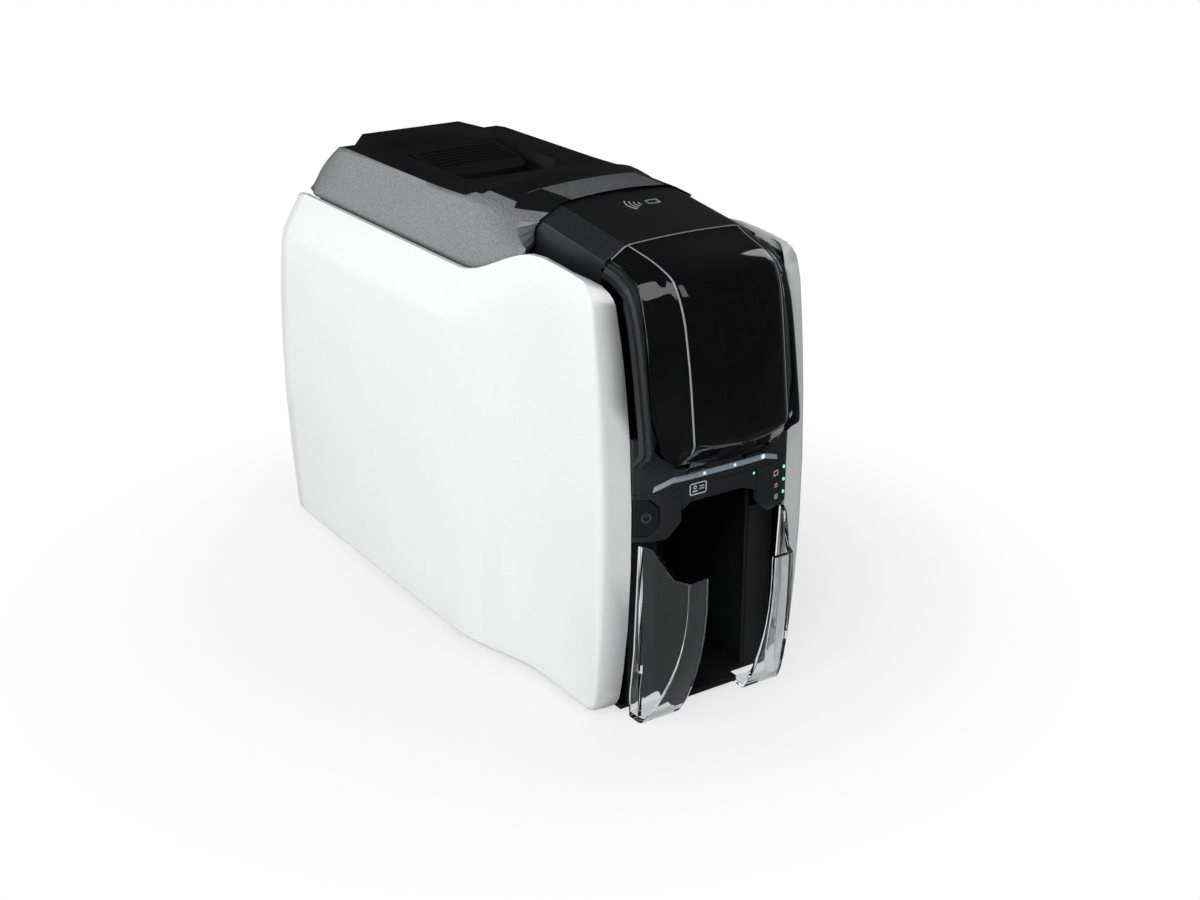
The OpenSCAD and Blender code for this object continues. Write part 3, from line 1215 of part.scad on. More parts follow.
module lid_shell() {
    nu = len(lid_across);
    nv = len(lid_rows);
    ar = [for (r = lid_rows, a = lid_across) [a, r]];
    edge = grid_edge(nu, nv);
    lipped_shell(nu, nv,
        [for (p = ar) lid_point(p[0], p[1], 0)],
        [for (p = ar) lid_point(p[0], p[1], wall)],
        [for (e = edge) lid_lip(ar[e][0], ar[e][1], 0)],
        [for (e = edge) lid_lip(ar[e][0], ar[e][1], wall)],
        true);
}
knuckle_r = 4;
knuckle_x = 40;
knuckle_w = 8;
paddle_pin_y = paddle_rear - 4;
paddle_z = crest_h - 1.4;
paddle_pin_z = paddle_z - 6;
striker_y = paddle_pin_y - 4;
hook_x = 14;
module top_lid() {
    color("#25272a") from_front() difference() {
        union() {
            difference() {
                lid_shell();
                // slots for the latch hooks
                for (s = [-1, 1]) translate([s * hook_x - 3, paddle_pin_y - 14, striker_z])
                    cube([6, 17.5, crest_h - striker_z]);
            }
            for (s = [-1, 1]) {
                translate([s > 0 ? knuckle_x : -knuckle_x - knuckle_w, 0, 0]) {
                    bore_x(0, lid_axis_y, lid_axis_z, knuckle_r, knuckle_w);
                    plate_yz([[lid_axis_y - 3.5, lid_axis_z - 1], [lid_axis_y + 2, lid_axis_z + 3],
                        [lid_axis_y - 8, lid_z(44, lid_axis_y - 8) - 1],
                        [lid_axis_y - 16, lid_z(44, lid_axis_y - 16) - 1],
                        [lid_axis_y - 16, lid_axis_z + 12]], 0, knuckle_w);
                }
                // ears of the latch pin, on the floor of the scoop
                translate([s * (hook_x + 7) - 1.5, 0, 0]) {
                    bore_x(0, paddle_pin_y, paddle_pin_z, 2.6, 3);
                    translate([0, paddle_pin_y - 2.6, lid_z(hook_x + 7, paddle_pin_y) - 1.5])
                        cube([3, 5.2, paddle_pin_z - lid_z(hook_x + 7, paddle_pin_y) + 1.5]);
                }
            }
        }
        bore_x(-60, lid_axis_y, lid_axis_z, hinge_pin_r + run_gap, 120);
        bore_x(-30, paddle_pin_y, paddle_pin_z, latch_pin_r, 60);
    }
}
module lid_hinge_pins() {
    color("silver") from_front() for (s = [-1, 1])
        bore_x(s > 0 ? knuckle_x - 6 : -knuckle_x - knuckle_w - 1, lid_axis_y, lid_axis_z,
            hinge_pin_r, knuckle_w + 7);
}
bracket_y = lid_axis_y - 12;
module lid_hinge_bracket() {
    color("#8b9196") from_front() difference() {
        union() {
            translate([-frame_x + frame_t + 0.02, bracket_y, lid_axis_z - 22.5])
                cube([2 * (frame_x - frame_t - 0.02), 9, 3]);
            for (s = [-1, 1]) translate([s > 0 ? knuckle_x - 6 : -knuckle_x + 0.4, 0, 0]) {
                bore_x(0, lid_axis_y, lid_axis_z, 3.8, 5.6);
                plate_yz([[bracket_y, lid_axis_z - 20.5], [bracket_y + 9, lid_axis_z - 20.5],
                    [lid_axis_y - 2.6, lid_axis_z - 2.6],
                    [lid_axis_y - 2.6, lid_axis_z + 2], [lid_axis_y - 6, lid_axis_z]], 0, 5.6);
            }
        }
        bore_x(-60, lid_axis_y, lid_axis_z, hinge_pin_r, 120);
    }
}

// ---- latch ----
paddle_front_half = paddle_half - 2.5;
paddle_slope = 4.5;
function paddle_top(y) = paddle_z + 1.2 - paddle_slope * (paddle_rear - y) / (paddle_rear - paddle_front);
module paddle_plan(grow) {
    r = 10;
    hull() {
        translate([-paddle_half, paddle_rear - 2]) square([2 * paddle_half, 2]);
        for (s = [-1, 1]) translate([s * (paddle_front_half - r), paddle_front + r + 1.5]) circle(r = r, $fn = 32);
        translate([0, paddle_front + 30]) circle(r = 30, $fn = 48);
    }
}
module latch_paddle() {
    nose_z = striker_z - striker_r - move_gap + 0.2;
    hook_y = striker_y - striker_r - move_gap;
    color("#2a2c2e") from_front() difference() {
        union() {
            intersection() {
                translate([0, 0, paddle_z - 12]) linear_extrude(height = 30) paddle_plan(0);
                plate_yz([[paddle_rear, paddle_top(paddle_rear)], [paddle_rear, paddle_top(paddle_rear) - paddle_t],
                    [paddle_front, paddle_top(paddle_front) - paddle_t],
                    [paddle_front, paddle_top(paddle_front)]], -40, 80);
            }
            // arched grip ribs
            for (k = [0:paddle_ribs - 1]) {
                y = paddle_rear - 5 - 5 * k;
                intersection() {
                    translate([0, y - 150, 0]) difference() {
                        cylinder(h = 300, r = 150.7, $fn = 180);
                        translate([0, 0, -1]) cylinder(h = 302, r = 149.3, $fn = 180);
                    }
                    translate([-paddle_half + 3, y - 8, paddle_top(y) - 1]) cube([2 * paddle_half - 6, 12, 1.7]);
                }
            }
            // arms with their hooks
            for (s = [-1, 1]) translate([s * hook_x - 2, 0, 0]) {
                bore_x(0, paddle_pin_y, paddle_pin_z, 3.1, 4);
                plate_yz([[paddle_pin_y - 3, paddle_pin_z + 5], [paddle_pin_y - 3, paddle_pin_z - 1],
                    [hook_y - 4, striker_z + 8], [hook_y - 4, nose_z - 1.2], [hook_y + 3, nose_z - 1.2],
                    [hook_y + 3, nose_z], [hook_y, nose_z], [hook_y, striker_z + 8],
                    [paddle_pin_y + 2.5, paddle_pin_z - 1], [paddle_pin_y + 2.5, paddle_pin_z + 5]], 0, 4);
            }
        }
        bore_x(-30, paddle_pin_y, paddle_pin_z, latch_pin_r + run_gap, 60);
    }
}
module latch_pin() {
    color("silver") from_front() bore_x(-hook_x - 9.5, paddle_pin_y, paddle_pin_z, latch_pin_r, 2 * hook_x + 19);
}
module latch_spring() {
    color("silver") from_front() translate([0, paddle_pin_y, paddle_pin_z]) coil(latch_coil, latch_wire);
}
module latch_striker() {
    color("silver") from_front() {
        bore_x(-frame_x + frame_t + 0.02, striker_y, striker_z, striker_r, 2 * (frame_x - frame_t - 0.02));
    }
}

base_tray();
rubber_feet();
left_side_frame();
right_side_frame();
left_panel();
right_panel();
rear_cover();
front_fascia();
left_front_plate();
control_panel();
gate_strip();
hood();
light_pipe();
status_lamps();
power_button();
button_spring();
hopper_cheek_left();
hopper_cheek_right();
output_bin();
feeder_tray();
feeder_door();
door_hinge_pins();
retainer_shaft();
retainer_spring();
card_retainer();
top_lid();
lid_hinge_pins();
lid_hinge_bracket();
latch_paddle();
latch_pin();
latch_spring();
latch_striker();
left_mech_plate();
right_mech_plate();
pick_roller();
front_feed_roller();
front_pinch_roller();
platen_roller();
rear_feed_roller();
rear_pinch_roller();
cleaning_roller();
exit_roller();
feed_belt();
drive_motor();
motor_pulley();
motor_belt();
head_bracket();
print_head();
head_springs();
ribbon_cartridge();
supply_spool();
takeup_spool();
ribbon_film();
takeup_gear();
ribbon_motor();
ribbon_pinion();
main_board();
power_inlet();
usb_port();
case_screws();
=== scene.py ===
import json
from math import radians, sin, cos, atan2

import bmesh
import bpy
from mathutils import Matrix, Vector


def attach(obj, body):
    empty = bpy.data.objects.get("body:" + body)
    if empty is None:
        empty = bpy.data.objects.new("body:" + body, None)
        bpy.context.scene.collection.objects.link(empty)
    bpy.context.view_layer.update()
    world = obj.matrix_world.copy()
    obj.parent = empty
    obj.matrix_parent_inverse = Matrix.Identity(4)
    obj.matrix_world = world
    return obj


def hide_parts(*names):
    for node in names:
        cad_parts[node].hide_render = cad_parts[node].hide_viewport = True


# Slim desktop id card printer. Metres, X is the width, -Y the front, Z up.
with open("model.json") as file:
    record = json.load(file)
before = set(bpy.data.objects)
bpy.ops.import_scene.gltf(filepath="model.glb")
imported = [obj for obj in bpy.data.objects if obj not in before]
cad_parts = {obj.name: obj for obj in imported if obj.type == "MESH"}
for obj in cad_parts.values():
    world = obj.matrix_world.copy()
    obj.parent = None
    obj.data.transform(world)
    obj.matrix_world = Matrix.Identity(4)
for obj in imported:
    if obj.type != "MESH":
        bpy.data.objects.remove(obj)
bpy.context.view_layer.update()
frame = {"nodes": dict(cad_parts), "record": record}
scene = bpy.context.scene
frontY = -0.16675  # the fascia plane


def mapRange(tree, source, low, high, toLow, toHigh):
    node = tree.nodes.new("ShaderNodeMapRange")
    tree.links.new(source, node.inputs["Value"])
    for label, value in (("From Min", low), ("From Max", high), ("To Min", toLow), ("To Max", toHigh)):
        if hasattr(value, "is_output"):
            tree.links.new(value, node.inputs[label])
        else:
            node.inputs[label].default_value = value
    return node.outputs[0]


def mathNode(tree, operation, a, b):
    node = tree.nodes.new("ShaderNodeMath")
    node.operation = operation
    for slot, value in enumerate((a, b)):
        if hasattr(value, "is_output"):
            tree.links.new(value, node.inputs[slot])
        else:
            node.inputs[slot].default_value = value
    return node.outputs[0]


cameraSet = {
    "target": (-0.0736, -0.00632 + frontY, 0.16151),
    "azimuth": 33.81,
    "elevation": 22.22,
    "distance": 0.84863,
    "lens": 54.0,
}


def placeCamera():
    s = cameraSet
    a, e = radians(s["azimuth"]), radians(s["elevation"])
    back = Vector((-sin(a) * cos(e), -cos(a) * cos(e), sin(e)))
    data = bpy.data.cameras.new("photoCamera")
    data.lens = s["lens"]
    data.sensor_width = 36.0
    data.clip_start = 0.01
    cam = bpy.data.objects.new("photoCamera", data)
    cam.location = Vector(s["target"]) + back * s["distance"]
    cam.rotation_euler = (-back).to_track_quat("-Z", "Y").to_euler()
    scene.collection.objects.link(cam)
    scene.camera = cam


lightSet = {
    "key": {"at": (-0.85, -0.70, 1.0), "size": 0.8, "power": 7.2},
    "side": {"at": (-1.3, 0.0, 0.35), "size": 0.8, "power": 6.7},
    "edge": {"at": (-0.85, 1.05, 0.3), "size": 0.6, "power": 3.4},
    "front": {"at": (0.1, -1.5, 1.3), "size": 0.6, "power": 3.0},
    "right": {"at": (1.3, 0.4, 0.9), "size": 0.6, "power": 2.5},
}


def placeLights():
    for name, s in lightSet.items():
        data = bpy.data.lights.new(name + "Light", "AREA")
        data.shape = "SQUARE"
        data.size = s["size"]
        data.energy = s["power"]
        lamp = bpy.data.objects.new(name + "Light", data)
        lamp.location = s["at"]
        lamp.rotation_euler = (Vector((0, 0, 0.12)) - Vector(s["at"])).to_track_quat("-Z", "Y").to_euler()
        scene.collection.objects.link(lamp)


def whiteToCamera(nodes, links, plain, bright):
    # mixes a plain backdrop with an even white one that only the camera and clear pieces see
    path = nodes.new("ShaderNodeLightPath")
    seen = nodes.new("ShaderNodeMath")
    seen.operation = "MAXIMUM"
    links.new(path.outputs["Is Camera Ray"], seen.inputs[0])
    links.new(path.outputs["Is Transmission Ray"], seen.inputs[1])
    mix = nodes.new("ShaderNodeMixShader")
    links.new(seen.outputs[0], mix.inputs[0])
    links.new(plain, mix.inputs[1])
    links.new(bright, mix.inputs[2])
    return mix.outputs[0]


worldSet = {"soft": 0.26, "mirrored": 0.05}


def makeWorld():
    world = bpy.data.worlds.new("studio")
    scene.world = world
    world.use_nodes = True
    nodes, links = world.node_tree.nodes, world.node_tree.links
    nodes.clear()
    out = nodes.new("ShaderNodeOutputWorld")
    soft = nodes.new("ShaderNodeBackground")
    soft.inputs["Color"].default_value = (1.0, 1.0, 1.0, 1)
    # gloss mirrors a dim studio, so that dark pieces stay dark and only the lamps draw highlights
    path = nodes.new("ShaderNodeLightPath")
    strength = mapRange(world.node_tree, path.outputs["Is Glossy Ray"], 0.0, 1.0, worldSet["soft"],
                        worldSet["mirrored"])
    links.new(strength, soft.inputs["Strength"])
    white = nodes.new("ShaderNodeBackground")
    white.inputs["Color"].default_value = (1, 1, 1, 1)
    white.inputs["Strength"].default_value = 1.0
    links.new(whiteToCamera(nodes, links, soft.outputs[0], white.outputs[0]), out.inputs["Surface"])
    scene.view_settings.view_transform = "Standard"


# tone as lit and as gloss mirrors it, and how far from the printer the camera sees plain white
floorSet = {"tone": 0.88, "mirroredTone": 0.12, "near": 0.08, "far": 0.32, "pale": 0.55}


def makeFloor():
    bm = bmesh.new()
    bmesh.ops.create_grid(bm, x_segments=1, y_segments=1, size=3.0)
    mesh = bpy.data.meshes.new("floor")
    bm.to_mesh(mesh)
    bm.free()
    floor = bpy.data.objects.new("floor", mesh)
    scene.collection.objects.link(floor)
    mat = bpy.data.materials.new("paleFloor")
    mat.use_nodes = True
    nodes, links = mat.node_tree.nodes, mat.node_tree.links
    bsdf = nodes["Principled BSDF"]
    bsdf.inputs["Roughness"].default_value = 0.9
    bsdf.inputs["Specular IOR Level"].default_value = 0.1
    # further from the printer the camera sees even white instead of the lit floor
    coord = nodes.new("ShaderNodeTexCoord")
    reach = nodes.new("ShaderNodeVectorMath")
    reach.operation = "LENGTH"
    links.new(coord.outputs["Object"], reach.inputs[0])
    far = mapRange(mat.node_tree, reach.outputs["Value"], floorSet["near"], floorSet["far"],
                   floorSet["pale"], 1.0)
    path = nodes.new("ShaderNodeLightPath")
    seen = mathNode(mat.node_tree, "MAXIMUM", path.outputs["Is Camera Ray"], path.outputs["Is Transmission Ray"])
    shade = nodes.new("ShaderNodeCombineColor")
    tone = mapRange(mat.node_tree, path.outputs["Is Glossy Ray"], 0.0, 1.0, floorSet["tone"],
                    floorSet["mirroredTone"])
    for channel in range(3):
        links.new(tone, shade.inputs[channel])
    links.new(shade.outputs[0], bsdf.inputs["Base Color"])
    white = nodes.new("ShaderNodeEmission")
    mix = nodes.new("ShaderNodeMixShader")
    links.new(mathNode(mat.node_tree, "MULTIPLY", seen, far), mix.inputs[0])
    links.new(bsdf.outputs[0], mix.inputs[1])
    links.new(white.outputs[0], mix.inputs[2])
    links.new(mix.outputs[0], nodes["Material Output"].inputs["Surface"])
    floor.data.materials.append(mat)


def newGroup(name, inputs, outputs):
    tree = bpy.data.node_groups.new(name, "ShaderNodeTree")
    for label, kind, value in inputs:
        socket = tree.interface.new_socket(label, in_out="INPUT", socket_type=kind)
        socket.default_value = value
    for label, kind in outputs:
        tree.interface.new_socket(label, in_out="OUTPUT", socket_type=kind)
    return tree, tree.nodes.new("NodeGroupInput"), tree.nodes.new("NodeGroupOutput")


def objectNoise(tree, scale, detail=2.0, stretch=None):
    coord = tree.nodes.new("ShaderNodeTexCoord")
    place = tree.nodes.new("ShaderNodeMapping")
    tree.links.new(coord.outputs["Object"], place.inputs["Vector"])
    if stretch:
        place.inputs["Scale"].default_value = stretch
    noise = tree.nodes.new("ShaderNodeTexNoise")
    tree.links.new(place.outputs[0], noise.inputs["Vector"])
    noise.inputs["Detail"].default_value = detail
    if hasattr(scale, "is_output"):
        tree.links.new(scale, noise.inputs["Scale"])
    else:
        noise.inputs["Scale"].default_value = scale
    return noise.outputs["Fac"]


def buildMouldGrain():
    # spark-eroded texture of moulded plastic: fine grain, faint clouding, a little dust in the colour
    tree, gin, gout = newGroup(
        "mouldGrain",
        [("Color", "NodeSocketColor", (0.05, 0.05, 0.05, 1)), ("Fleck", "NodeSocketFloat", 0.3),
         ("Scale", "NodeSocketFloat", 1400.0), ("Depth", "NodeSocketFloat", 0.2),
         ("Rough", "NodeSocketFloat", 0.45), ("Vary", "NodeSocketFloat", 0.06),
         ("Cloud", "NodeSocketFloat", 0.06)],
        [("Color", "NodeSocketColor"), ("Roughness", "NodeSocketFloat"), ("Normal", "NodeSocketVector")])
    grain = objectNoise(tree, gin.outputs["Scale"], 3.0)
    cloud = objectNoise(tree, 24.0, 3.0)
    spread = mapRange(tree, grain, 0.35, 0.65, mathNode(tree, "SUBTRACT", 1.0, gin.outputs["Fleck"]),
                      mathNode(tree, "ADD", 1.0, gin.outputs["Fleck"]))
    drift = mathNode(tree, "MULTIPLY", gin.outputs["Cloud"], mapRange(tree, cloud, 0.3, 0.7, -1.0, 1.0))
    shade = mathNode(tree, "MULTIPLY", spread, mathNode(tree, "ADD", 1.0, drift))
    tint = tree.nodes.new("ShaderNodeVectorMath")
    tint.operation = "SCALE"
    tree.links.new(gin.outputs["Color"], tint.inputs[0])
    tree.links.new(shade, tint.inputs["Scale"])
    tree.links.new(tint.outputs[0], gout.inputs["Color"])
    rough = mathNode(tree, "ADD", gin.outputs["Rough"],
                     mathNode(tree, "MULTIPLY", gin.outputs["Vary"], mapRange(tree, cloud, 0.3, 0.7, -1.0, 1.0)))
    tree.links.new(rough, gout.inputs["Roughness"])
    bump = tree.nodes.new("ShaderNodeBump")
    bump.inputs["Distance"].default_value = 0.00006
    tree.links.new(gin.outputs["Depth"], bump.inputs["Strength"])
    tree.links.new(grain, bump.inputs["Height"])
    tree.links.new(bump.outputs[0], gout.inputs["Normal"])
    return tree


def buildDrawnMetal():
    # fine drawn or ground lines and a slightly uneven tone
    tree, gin, gout = newGroup(
        "drawnMetal",
        [("Color", "NodeSocketColor", (0.6, 0.6, 0.6, 1)), ("Rough", "NodeSocketFloat", 0.3)],
        [("Color", "NodeSocketColor"), ("Roughness", "NodeSocketFloat"), ("Normal", "NodeSocketVector")])
    line = objectNoise(tree, 900.0, 2.0, (0.06, 1.0, 1.0))
    cloud = objectNoise(tree, 40.0, 3.0)
    tint = tree.nodes.new("ShaderNodeVectorMath")
    tint.operation = "SCALE"
    tree.links.new(gin.outputs["Color"], tint.inputs[0])
    tree.links.new(mapRange(tree, cloud, 0.3, 0.7, 0.9, 1.06), tint.inputs["Scale"])
    tree.links.new(tint.outputs[0], gout.inputs["Color"])
    rough = mathNode(tree, "ADD", gin.outputs["Rough"], mapRange(tree, line, 0.3, 0.7, -0.06, 0.1))
    tree.links.new(rough, gout.inputs["Roughness"])
    bump = tree.nodes.new("ShaderNodeBump")
    bump.inputs["Distance"].default_value = 0.00003
    bump.inputs["Strength"].default_value = 0.15
    tree.links.new(line, bump.inputs["Height"])
    tree.links.new(bump.outputs[0], gout.inputs["Normal"])
    return tree


mouldGrain = buildMouldGrain()
drawnMetal = buildDrawnMetal()
finishes = {}


def newMaterial(name):
    mat = bpy.data.materials.new(name)
    mat.use_nodes = True
    finishes[name] = mat
    return mat.node_tree, mat.node_tree.nodes["Principled BSDF"]


def placeGroup(tree, group, bsdf, values):
    node = tree.nodes.new("ShaderNodeGroup")
    node.node_tree = group
    for label, value in values.items():
        node.inputs[label].default_value = value
    for label, socket in (("Color", "Base Color"), ("Roughness", "Roughness"), ("Normal", "Normal")):
        tree.links.new(node.outputs[label], bsdf.inputs[socket])


def plastic(name, color, rough, fleck=0.25, scale=1400.0, depth=0.2, vary=0.05, specular=0.4, cloud=0.06):
    tree, bsdf = newMaterial(name)
    placeGroup(tree, mouldGrain, bsdf, {"Color": (*color, 1), "Fleck": fleck, "Scale": scale, "Depth": depth,
                                        "Rough": rough, "Vary": vary, "Cloud": cloud})
    bsdf.inputs["Specular IOR Level"].default_value = specular


def metal(name, color, rough):
    tree, bsdf = newMaterial(name)
    placeGroup(tree, drawnMetal, bsdf, {"Color": (*color, 1), "Rough": rough})
    bsdf.inputs["Metallic"].default_value = 1.0


def clearPlastic(name, color, rough, frost=1.0, shine=0.5):
    # clear moulding: faint flow marks in the gloss, a little haze
    tree, bsdf = newMaterial(name)
    flow = objectNoise(tree, 60.0, 2.0, (1.0, 1.0, 0.35))
    bsdf.inputs["Base Color"].default_value = (*color, 1)
    tree.links.new(mapRange(tree, flow, 0.3, 0.7, rough * 0.5, rough * 1.5), bsdf.inputs["Roughness"])
    bump = tree.nodes.new("ShaderNodeBump")
    bump.inputs["Distance"].default_value = 0.0001
    bump.inputs["Strength"].default_value = 0.02
    tree.links.new(flow, bump.inputs["Height"])
    tree.links.new(bump.outputs[0], bsdf.inputs["Normal"])
    bsdf.inputs["Transmission Weight"].default_value = frost
    bsdf.inputs["IOR"].default_value = 1.46
    bsdf.inputs["Specular IOR Level"].default_value = shine


# glowing plastic: real lamps, and a painted glow on the light pipe, which is no lamp
def lampAndPaintedGlow(name, color, power):
    tree, bsdf = newMaterial(name)
    spot = objectNoise(tree, 900.0, 1.0)
    bsdf.inputs["Base Color"].default_value = (*color, 1)
    tint = tree.nodes.new("ShaderNodeVectorMath")
    tint.operation = "SCALE"
    tint.inputs[0].default_value = color
    tree.links.new(mapRange(tree, spot, 0.3, 0.7, 0.8, 1.2), tint.inputs["Scale"])
    tree.links.new(tint.outputs[0], bsdf.inputs["Emission Color"])
    bsdf.inputs["Emission Strength"].default_value = power
    bsdf.inputs["Roughness"].default_value = 0.25


def makeFinishes():
    plastic("panelWhite", (0.80, 0.805, 0.805), 0.40, fleck=0.01, scale=500.0, depth=0.03, vary=0.01,
            specular=0.4, cloud=0.006)
    plastic("lidBlack", (0.0042, 0.0044, 0.0048), 0.6, fleck=0.35, scale=1300.0, depth=0.3, vary=0.04,
            specular=0.25)
    # painted sheen: a lighter, glossier copy of the lid plastic for the flanks, standing in for the light they
    # catch
    plastic("lidSidePaintedSheen", (0.18, 0.188, 0.19), 0.42, fleck=0.35, scale=1300.0, depth=0.3, vary=0.05,
            specular=0.45)
    plastic("archGrey", (0.115, 0.122, 0.128), 0.5, fleck=0.45, scale=1500.0, depth=0.5, specular=0.4)
    plastic("hoodBlack", (0.0095, 0.0098, 0.0106), 0.34, fleck=0.2, scale=1600.0, depth=0.15, specular=0.35)
    plastic("hoodSide", (0.020, 0.0218, 0.0236), 0.45, fleck=0.4, scale=1500.0, depth=0.4, specular=0.4)
    plastic("ribGrey", (0.16, 0.17, 0.20), 0.3, fleck=0.1, scale=1200.0, depth=0.05)
    plastic("fasciaGrey", (0.022, 0.024, 0.027), 0.46, fleck=0.3, scale=1500.0, depth=0.35, specular=0.35)
    plastic("keyBlack", (0.012, 0.013, 0.014), 0.38, fleck=0.2, scale=1500.0, depth=0.2, specular=0.35)
    plastic("bayBlack", (0.006, 0.006, 0.0065), 0.6, fleck=0.2, scale=1200.0, depth=0.2, specular=0.2)
    plastic("frameBlack", (0.010, 0.0105, 0.011), 0.55, fleck=0.2, scale=1200.0, depth=0.3, specular=0.3)
    plastic("footRubber", (0.02, 0.02, 0.02), 0.85, fleck=0.2, scale=700.0, depth=0.5, specular=0.2)
    plastic("rollerRubber", (0.03, 0.03, 0.032), 0.75, fleck=0.15, scale=1800.0, depth=0.4, specular=0.25)
    plastic("beltRubber", (0.012, 0.012, 0.012), 0.7, fleck=0.2, scale=1500.0, depth=0.5, specular=0.25)
    plastic("gearWhite", (0.62, 0.6, 0.54), 0.45, fleck=0.03, scale=900.0, depth=0.1)
    plastic("ribbonFilm", (0.10, 0.06, 0.02), 0.2, fleck=0.1, scale=300.0, depth=0.05)
    plastic("boardGreen", (0.01, 0.10, 0.04), 0.35, fleck=0.25, scale=260.0, depth=0.1)
    plastic("motorPaint", (0.05, 0.052, 0.056), 0.4, fleck=0.1, scale=900.0, depth=0.1)
    plastic("iconGrey", (0.42, 0.45, 0.47), 0.45, fleck=0.05, scale=1500.0, depth=0.05)
    plastic("iconWhite", (0.75, 0.78, 0.80), 0.45, fleck=0.04, scale=1500.0, depth=0.05)
    plastic("iconDim", (0.085, 0.09, 0.095), 0.45, fleck=0.05, scale=1500.0, depth=0.05)
    metal("shaftSteel", (0.62, 0.63, 0.65), 0.22)
    metal("sheetSteel", (0.50, 0.52, 0.53), 0.38)
    metal("springSteel", (0.55, 0.55, 0.56), 0.25)
    metal("headAluminium", (0.72, 0.74, 0.76), 0.35)
    metal("gearBrass", (0.75, 0.56, 0.25), 0.3)
    clearPlastic("smokedClear", (0.03, 0.031, 0.033), 0.03, 0.92, 0.5)
    # painted highlight: a pale, partly clear strip finish for the door's edges, standing in for the light they
    # catch
    clearPlastic("paintedEdgeHighlight", (0.42, 0.44, 0.45), 0.12, 0.25)
    clearPlastic("cheekClear", (0.90, 0.93, 0.94), 0.03)
    clearPlastic("pipeFrost", (0.42, 0.50, 0.56), 0.3, 0.2)
    # painted glow: the light pipe's lens and spots shine as if lit, though the pipe is no lamp
    lampAndPaintedGlow("pipePaintedGlow", (0.55, 0.75, 0.9), 0.8)
    lampAndPaintedGlow("lampGreen", (0.08, 0.9, 0.3), 2.0)


nodeFinish = {
    "panelWhite": ["left_panel", "right_panel"],
    "lidBlack": ["top_lid", "latch_paddle"],
    "hoodBlack": ["hood"],
    "fasciaGrey": ["front_fascia", "left_front_plate", "control_panel", "gate_strip"],
    "keyBlack": ["power_button", "card_retainer", "ribbon_cartridge"],
    "bayBlack": ["output_bin", "feeder_tray", "power_inlet"],
    "frameBlack": ["base_tray", "left_side_frame", "right_side_frame", "rear_cover"],
    "footRubber": ["rubber_feet"],
    "rollerRubber": ["pick_roller", "front_feed_roller", "front_pinch_roller", "platen_roller",
                     "rear_feed_roller", "rear_pinch_roller", "cleaning_roller", "exit_roller"],
    "beltRubber": ["feed_belt", "motor_belt"],
    "gearWhite": ["motor_pulley", "takeup_gear"],
    "ribbonFilm": ["ribbon_film", "supply_spool", "takeup_spool"],
    "boardGreen": ["main_board"],
    "motorPaint": ["drive_motor", "ribbon_motor"],
    "shaftSteel": ["door_hinge_pins", "retainer_shaft", "lid_hinge_pins", "latch_pin", "latch_striker",
                   "case_screws", "usb_port"],
    "sheetSteel": ["lid_hinge_bracket", "left_mech_plate", "right_mech_plate", "head_bracket"],
    "springSteel": ["button_spring", "retainer_spring", "latch_spring", "head_springs"],
    "headAluminium": ["print_head"],
    "gearBrass": ["ribbon_pinion"],
    "smokedClear": ["feeder_door"],
    "cheekClear": ["hopper_cheek_left", "hopper_cheek_right"],
    "pipeFrost": ["light_pipe"],
    "lampGreen": ["status_lamps"],
}


def dressNodes():
    for finish, names in nodeFinish.items():
        for name in names:
            materials = frame["nodes"][name].data.materials
            materials.clear()
            materials.append(finishes[finish])


bodyOf = {n: b for b, names in frame["record"]["behaviour"]["bodies"].items() for n in names}


def addPiece(name, bm, finish, body, smooth):
    mesh = bpy.data.meshes.new(name)
    bm.to_mesh(mesh)
    bm.free()
    obj = bpy.data.objects.new(name, mesh)
    scene.collection.objects.link(obj)
    mesh.materials.append(finishes[finish])
    mesh.shade_smooth()
    mesh.set_sharp_from_angle(angle=radians(smooth))
    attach(obj, body)
    return obj


def addBevel(obj, width, segments=3, angle=30):
    mod = obj.modifiers.new("softEdge", "BEVEL")
    mod.width = width
    mod.segments = segments
    mod.limit_method = "ANGLE"
    mod.angle_limit = radians(angle)


# pieces whose CAD form is kept but drawn smooth, with soft edges
smoothSet = {
    "left_panel": {"finish": "panelWhite", "angle": 50, "bevel": 0.0},
    "right_panel": {"finish": "panelWhite", "angle": 50, "bevel": 0.0},
    "top_lid": {"finish": "lidBlack", "angle": 40, "bevel": 0.0},
    "hood": {"finish": "hoodBlack", "angle": 12, "bevel": 0.0006},
    "front_fascia": {"finish": "fasciaGrey", "angle": 35, "bevel": 0.0003},
    "left_front_plate": {"finish": "fasciaGrey", "angle": 35, "bevel": 0.0003},
    "control_panel": {"finish": "fasciaGrey", "angle": 35, "bevel": 0.0003},
    "gate_strip": {"finish": "fasciaGrey", "angle": 35, "bevel": 0.0003},
    "power_button": {"finish": "keyBlack", "angle": 35, "bevel": 0.0005},
    "light_pipe": {"finish": "pipeFrost", "angle": 35, "bevel": 0.0003},
    "latch_paddle": {"finish": "lidBlack", "angle": 35, "bevel": 0.0005},
    "hopper_cheek_left": {"finish": "cheekClear", "angle": 35, "bevel": 0.0004},
    "hopper_cheek_right": {"finish": "cheekClear", "angle": 35, "bevel": 0.0004},
    "rear_cover": {"finish": "frameBlack", "angle": 35, "bevel": 0.0004},
    "output_bin": {"finish": "bayBlack", "angle": 35, "bevel": 0.0003},
    "card_retainer": {"finish": "keyBlack", "angle": 35, "bevel": 0.0003},
}


archEdge = [(0, 26), (10, 26.5), (20, 28.5), (30, 34), (36, 38), (40, 38), (44, 35.7), (48, 30), (53, 21),
            (56.5, 12.4), (58.3, 5)]


def between(table, v):
    for (a, fa), (b, fb) in zip(table, table[1:]):
        if v <= b:
            return fa + (fb - fa) * max(0.0, (v - a) / (b - a))
    return table[-1][1]


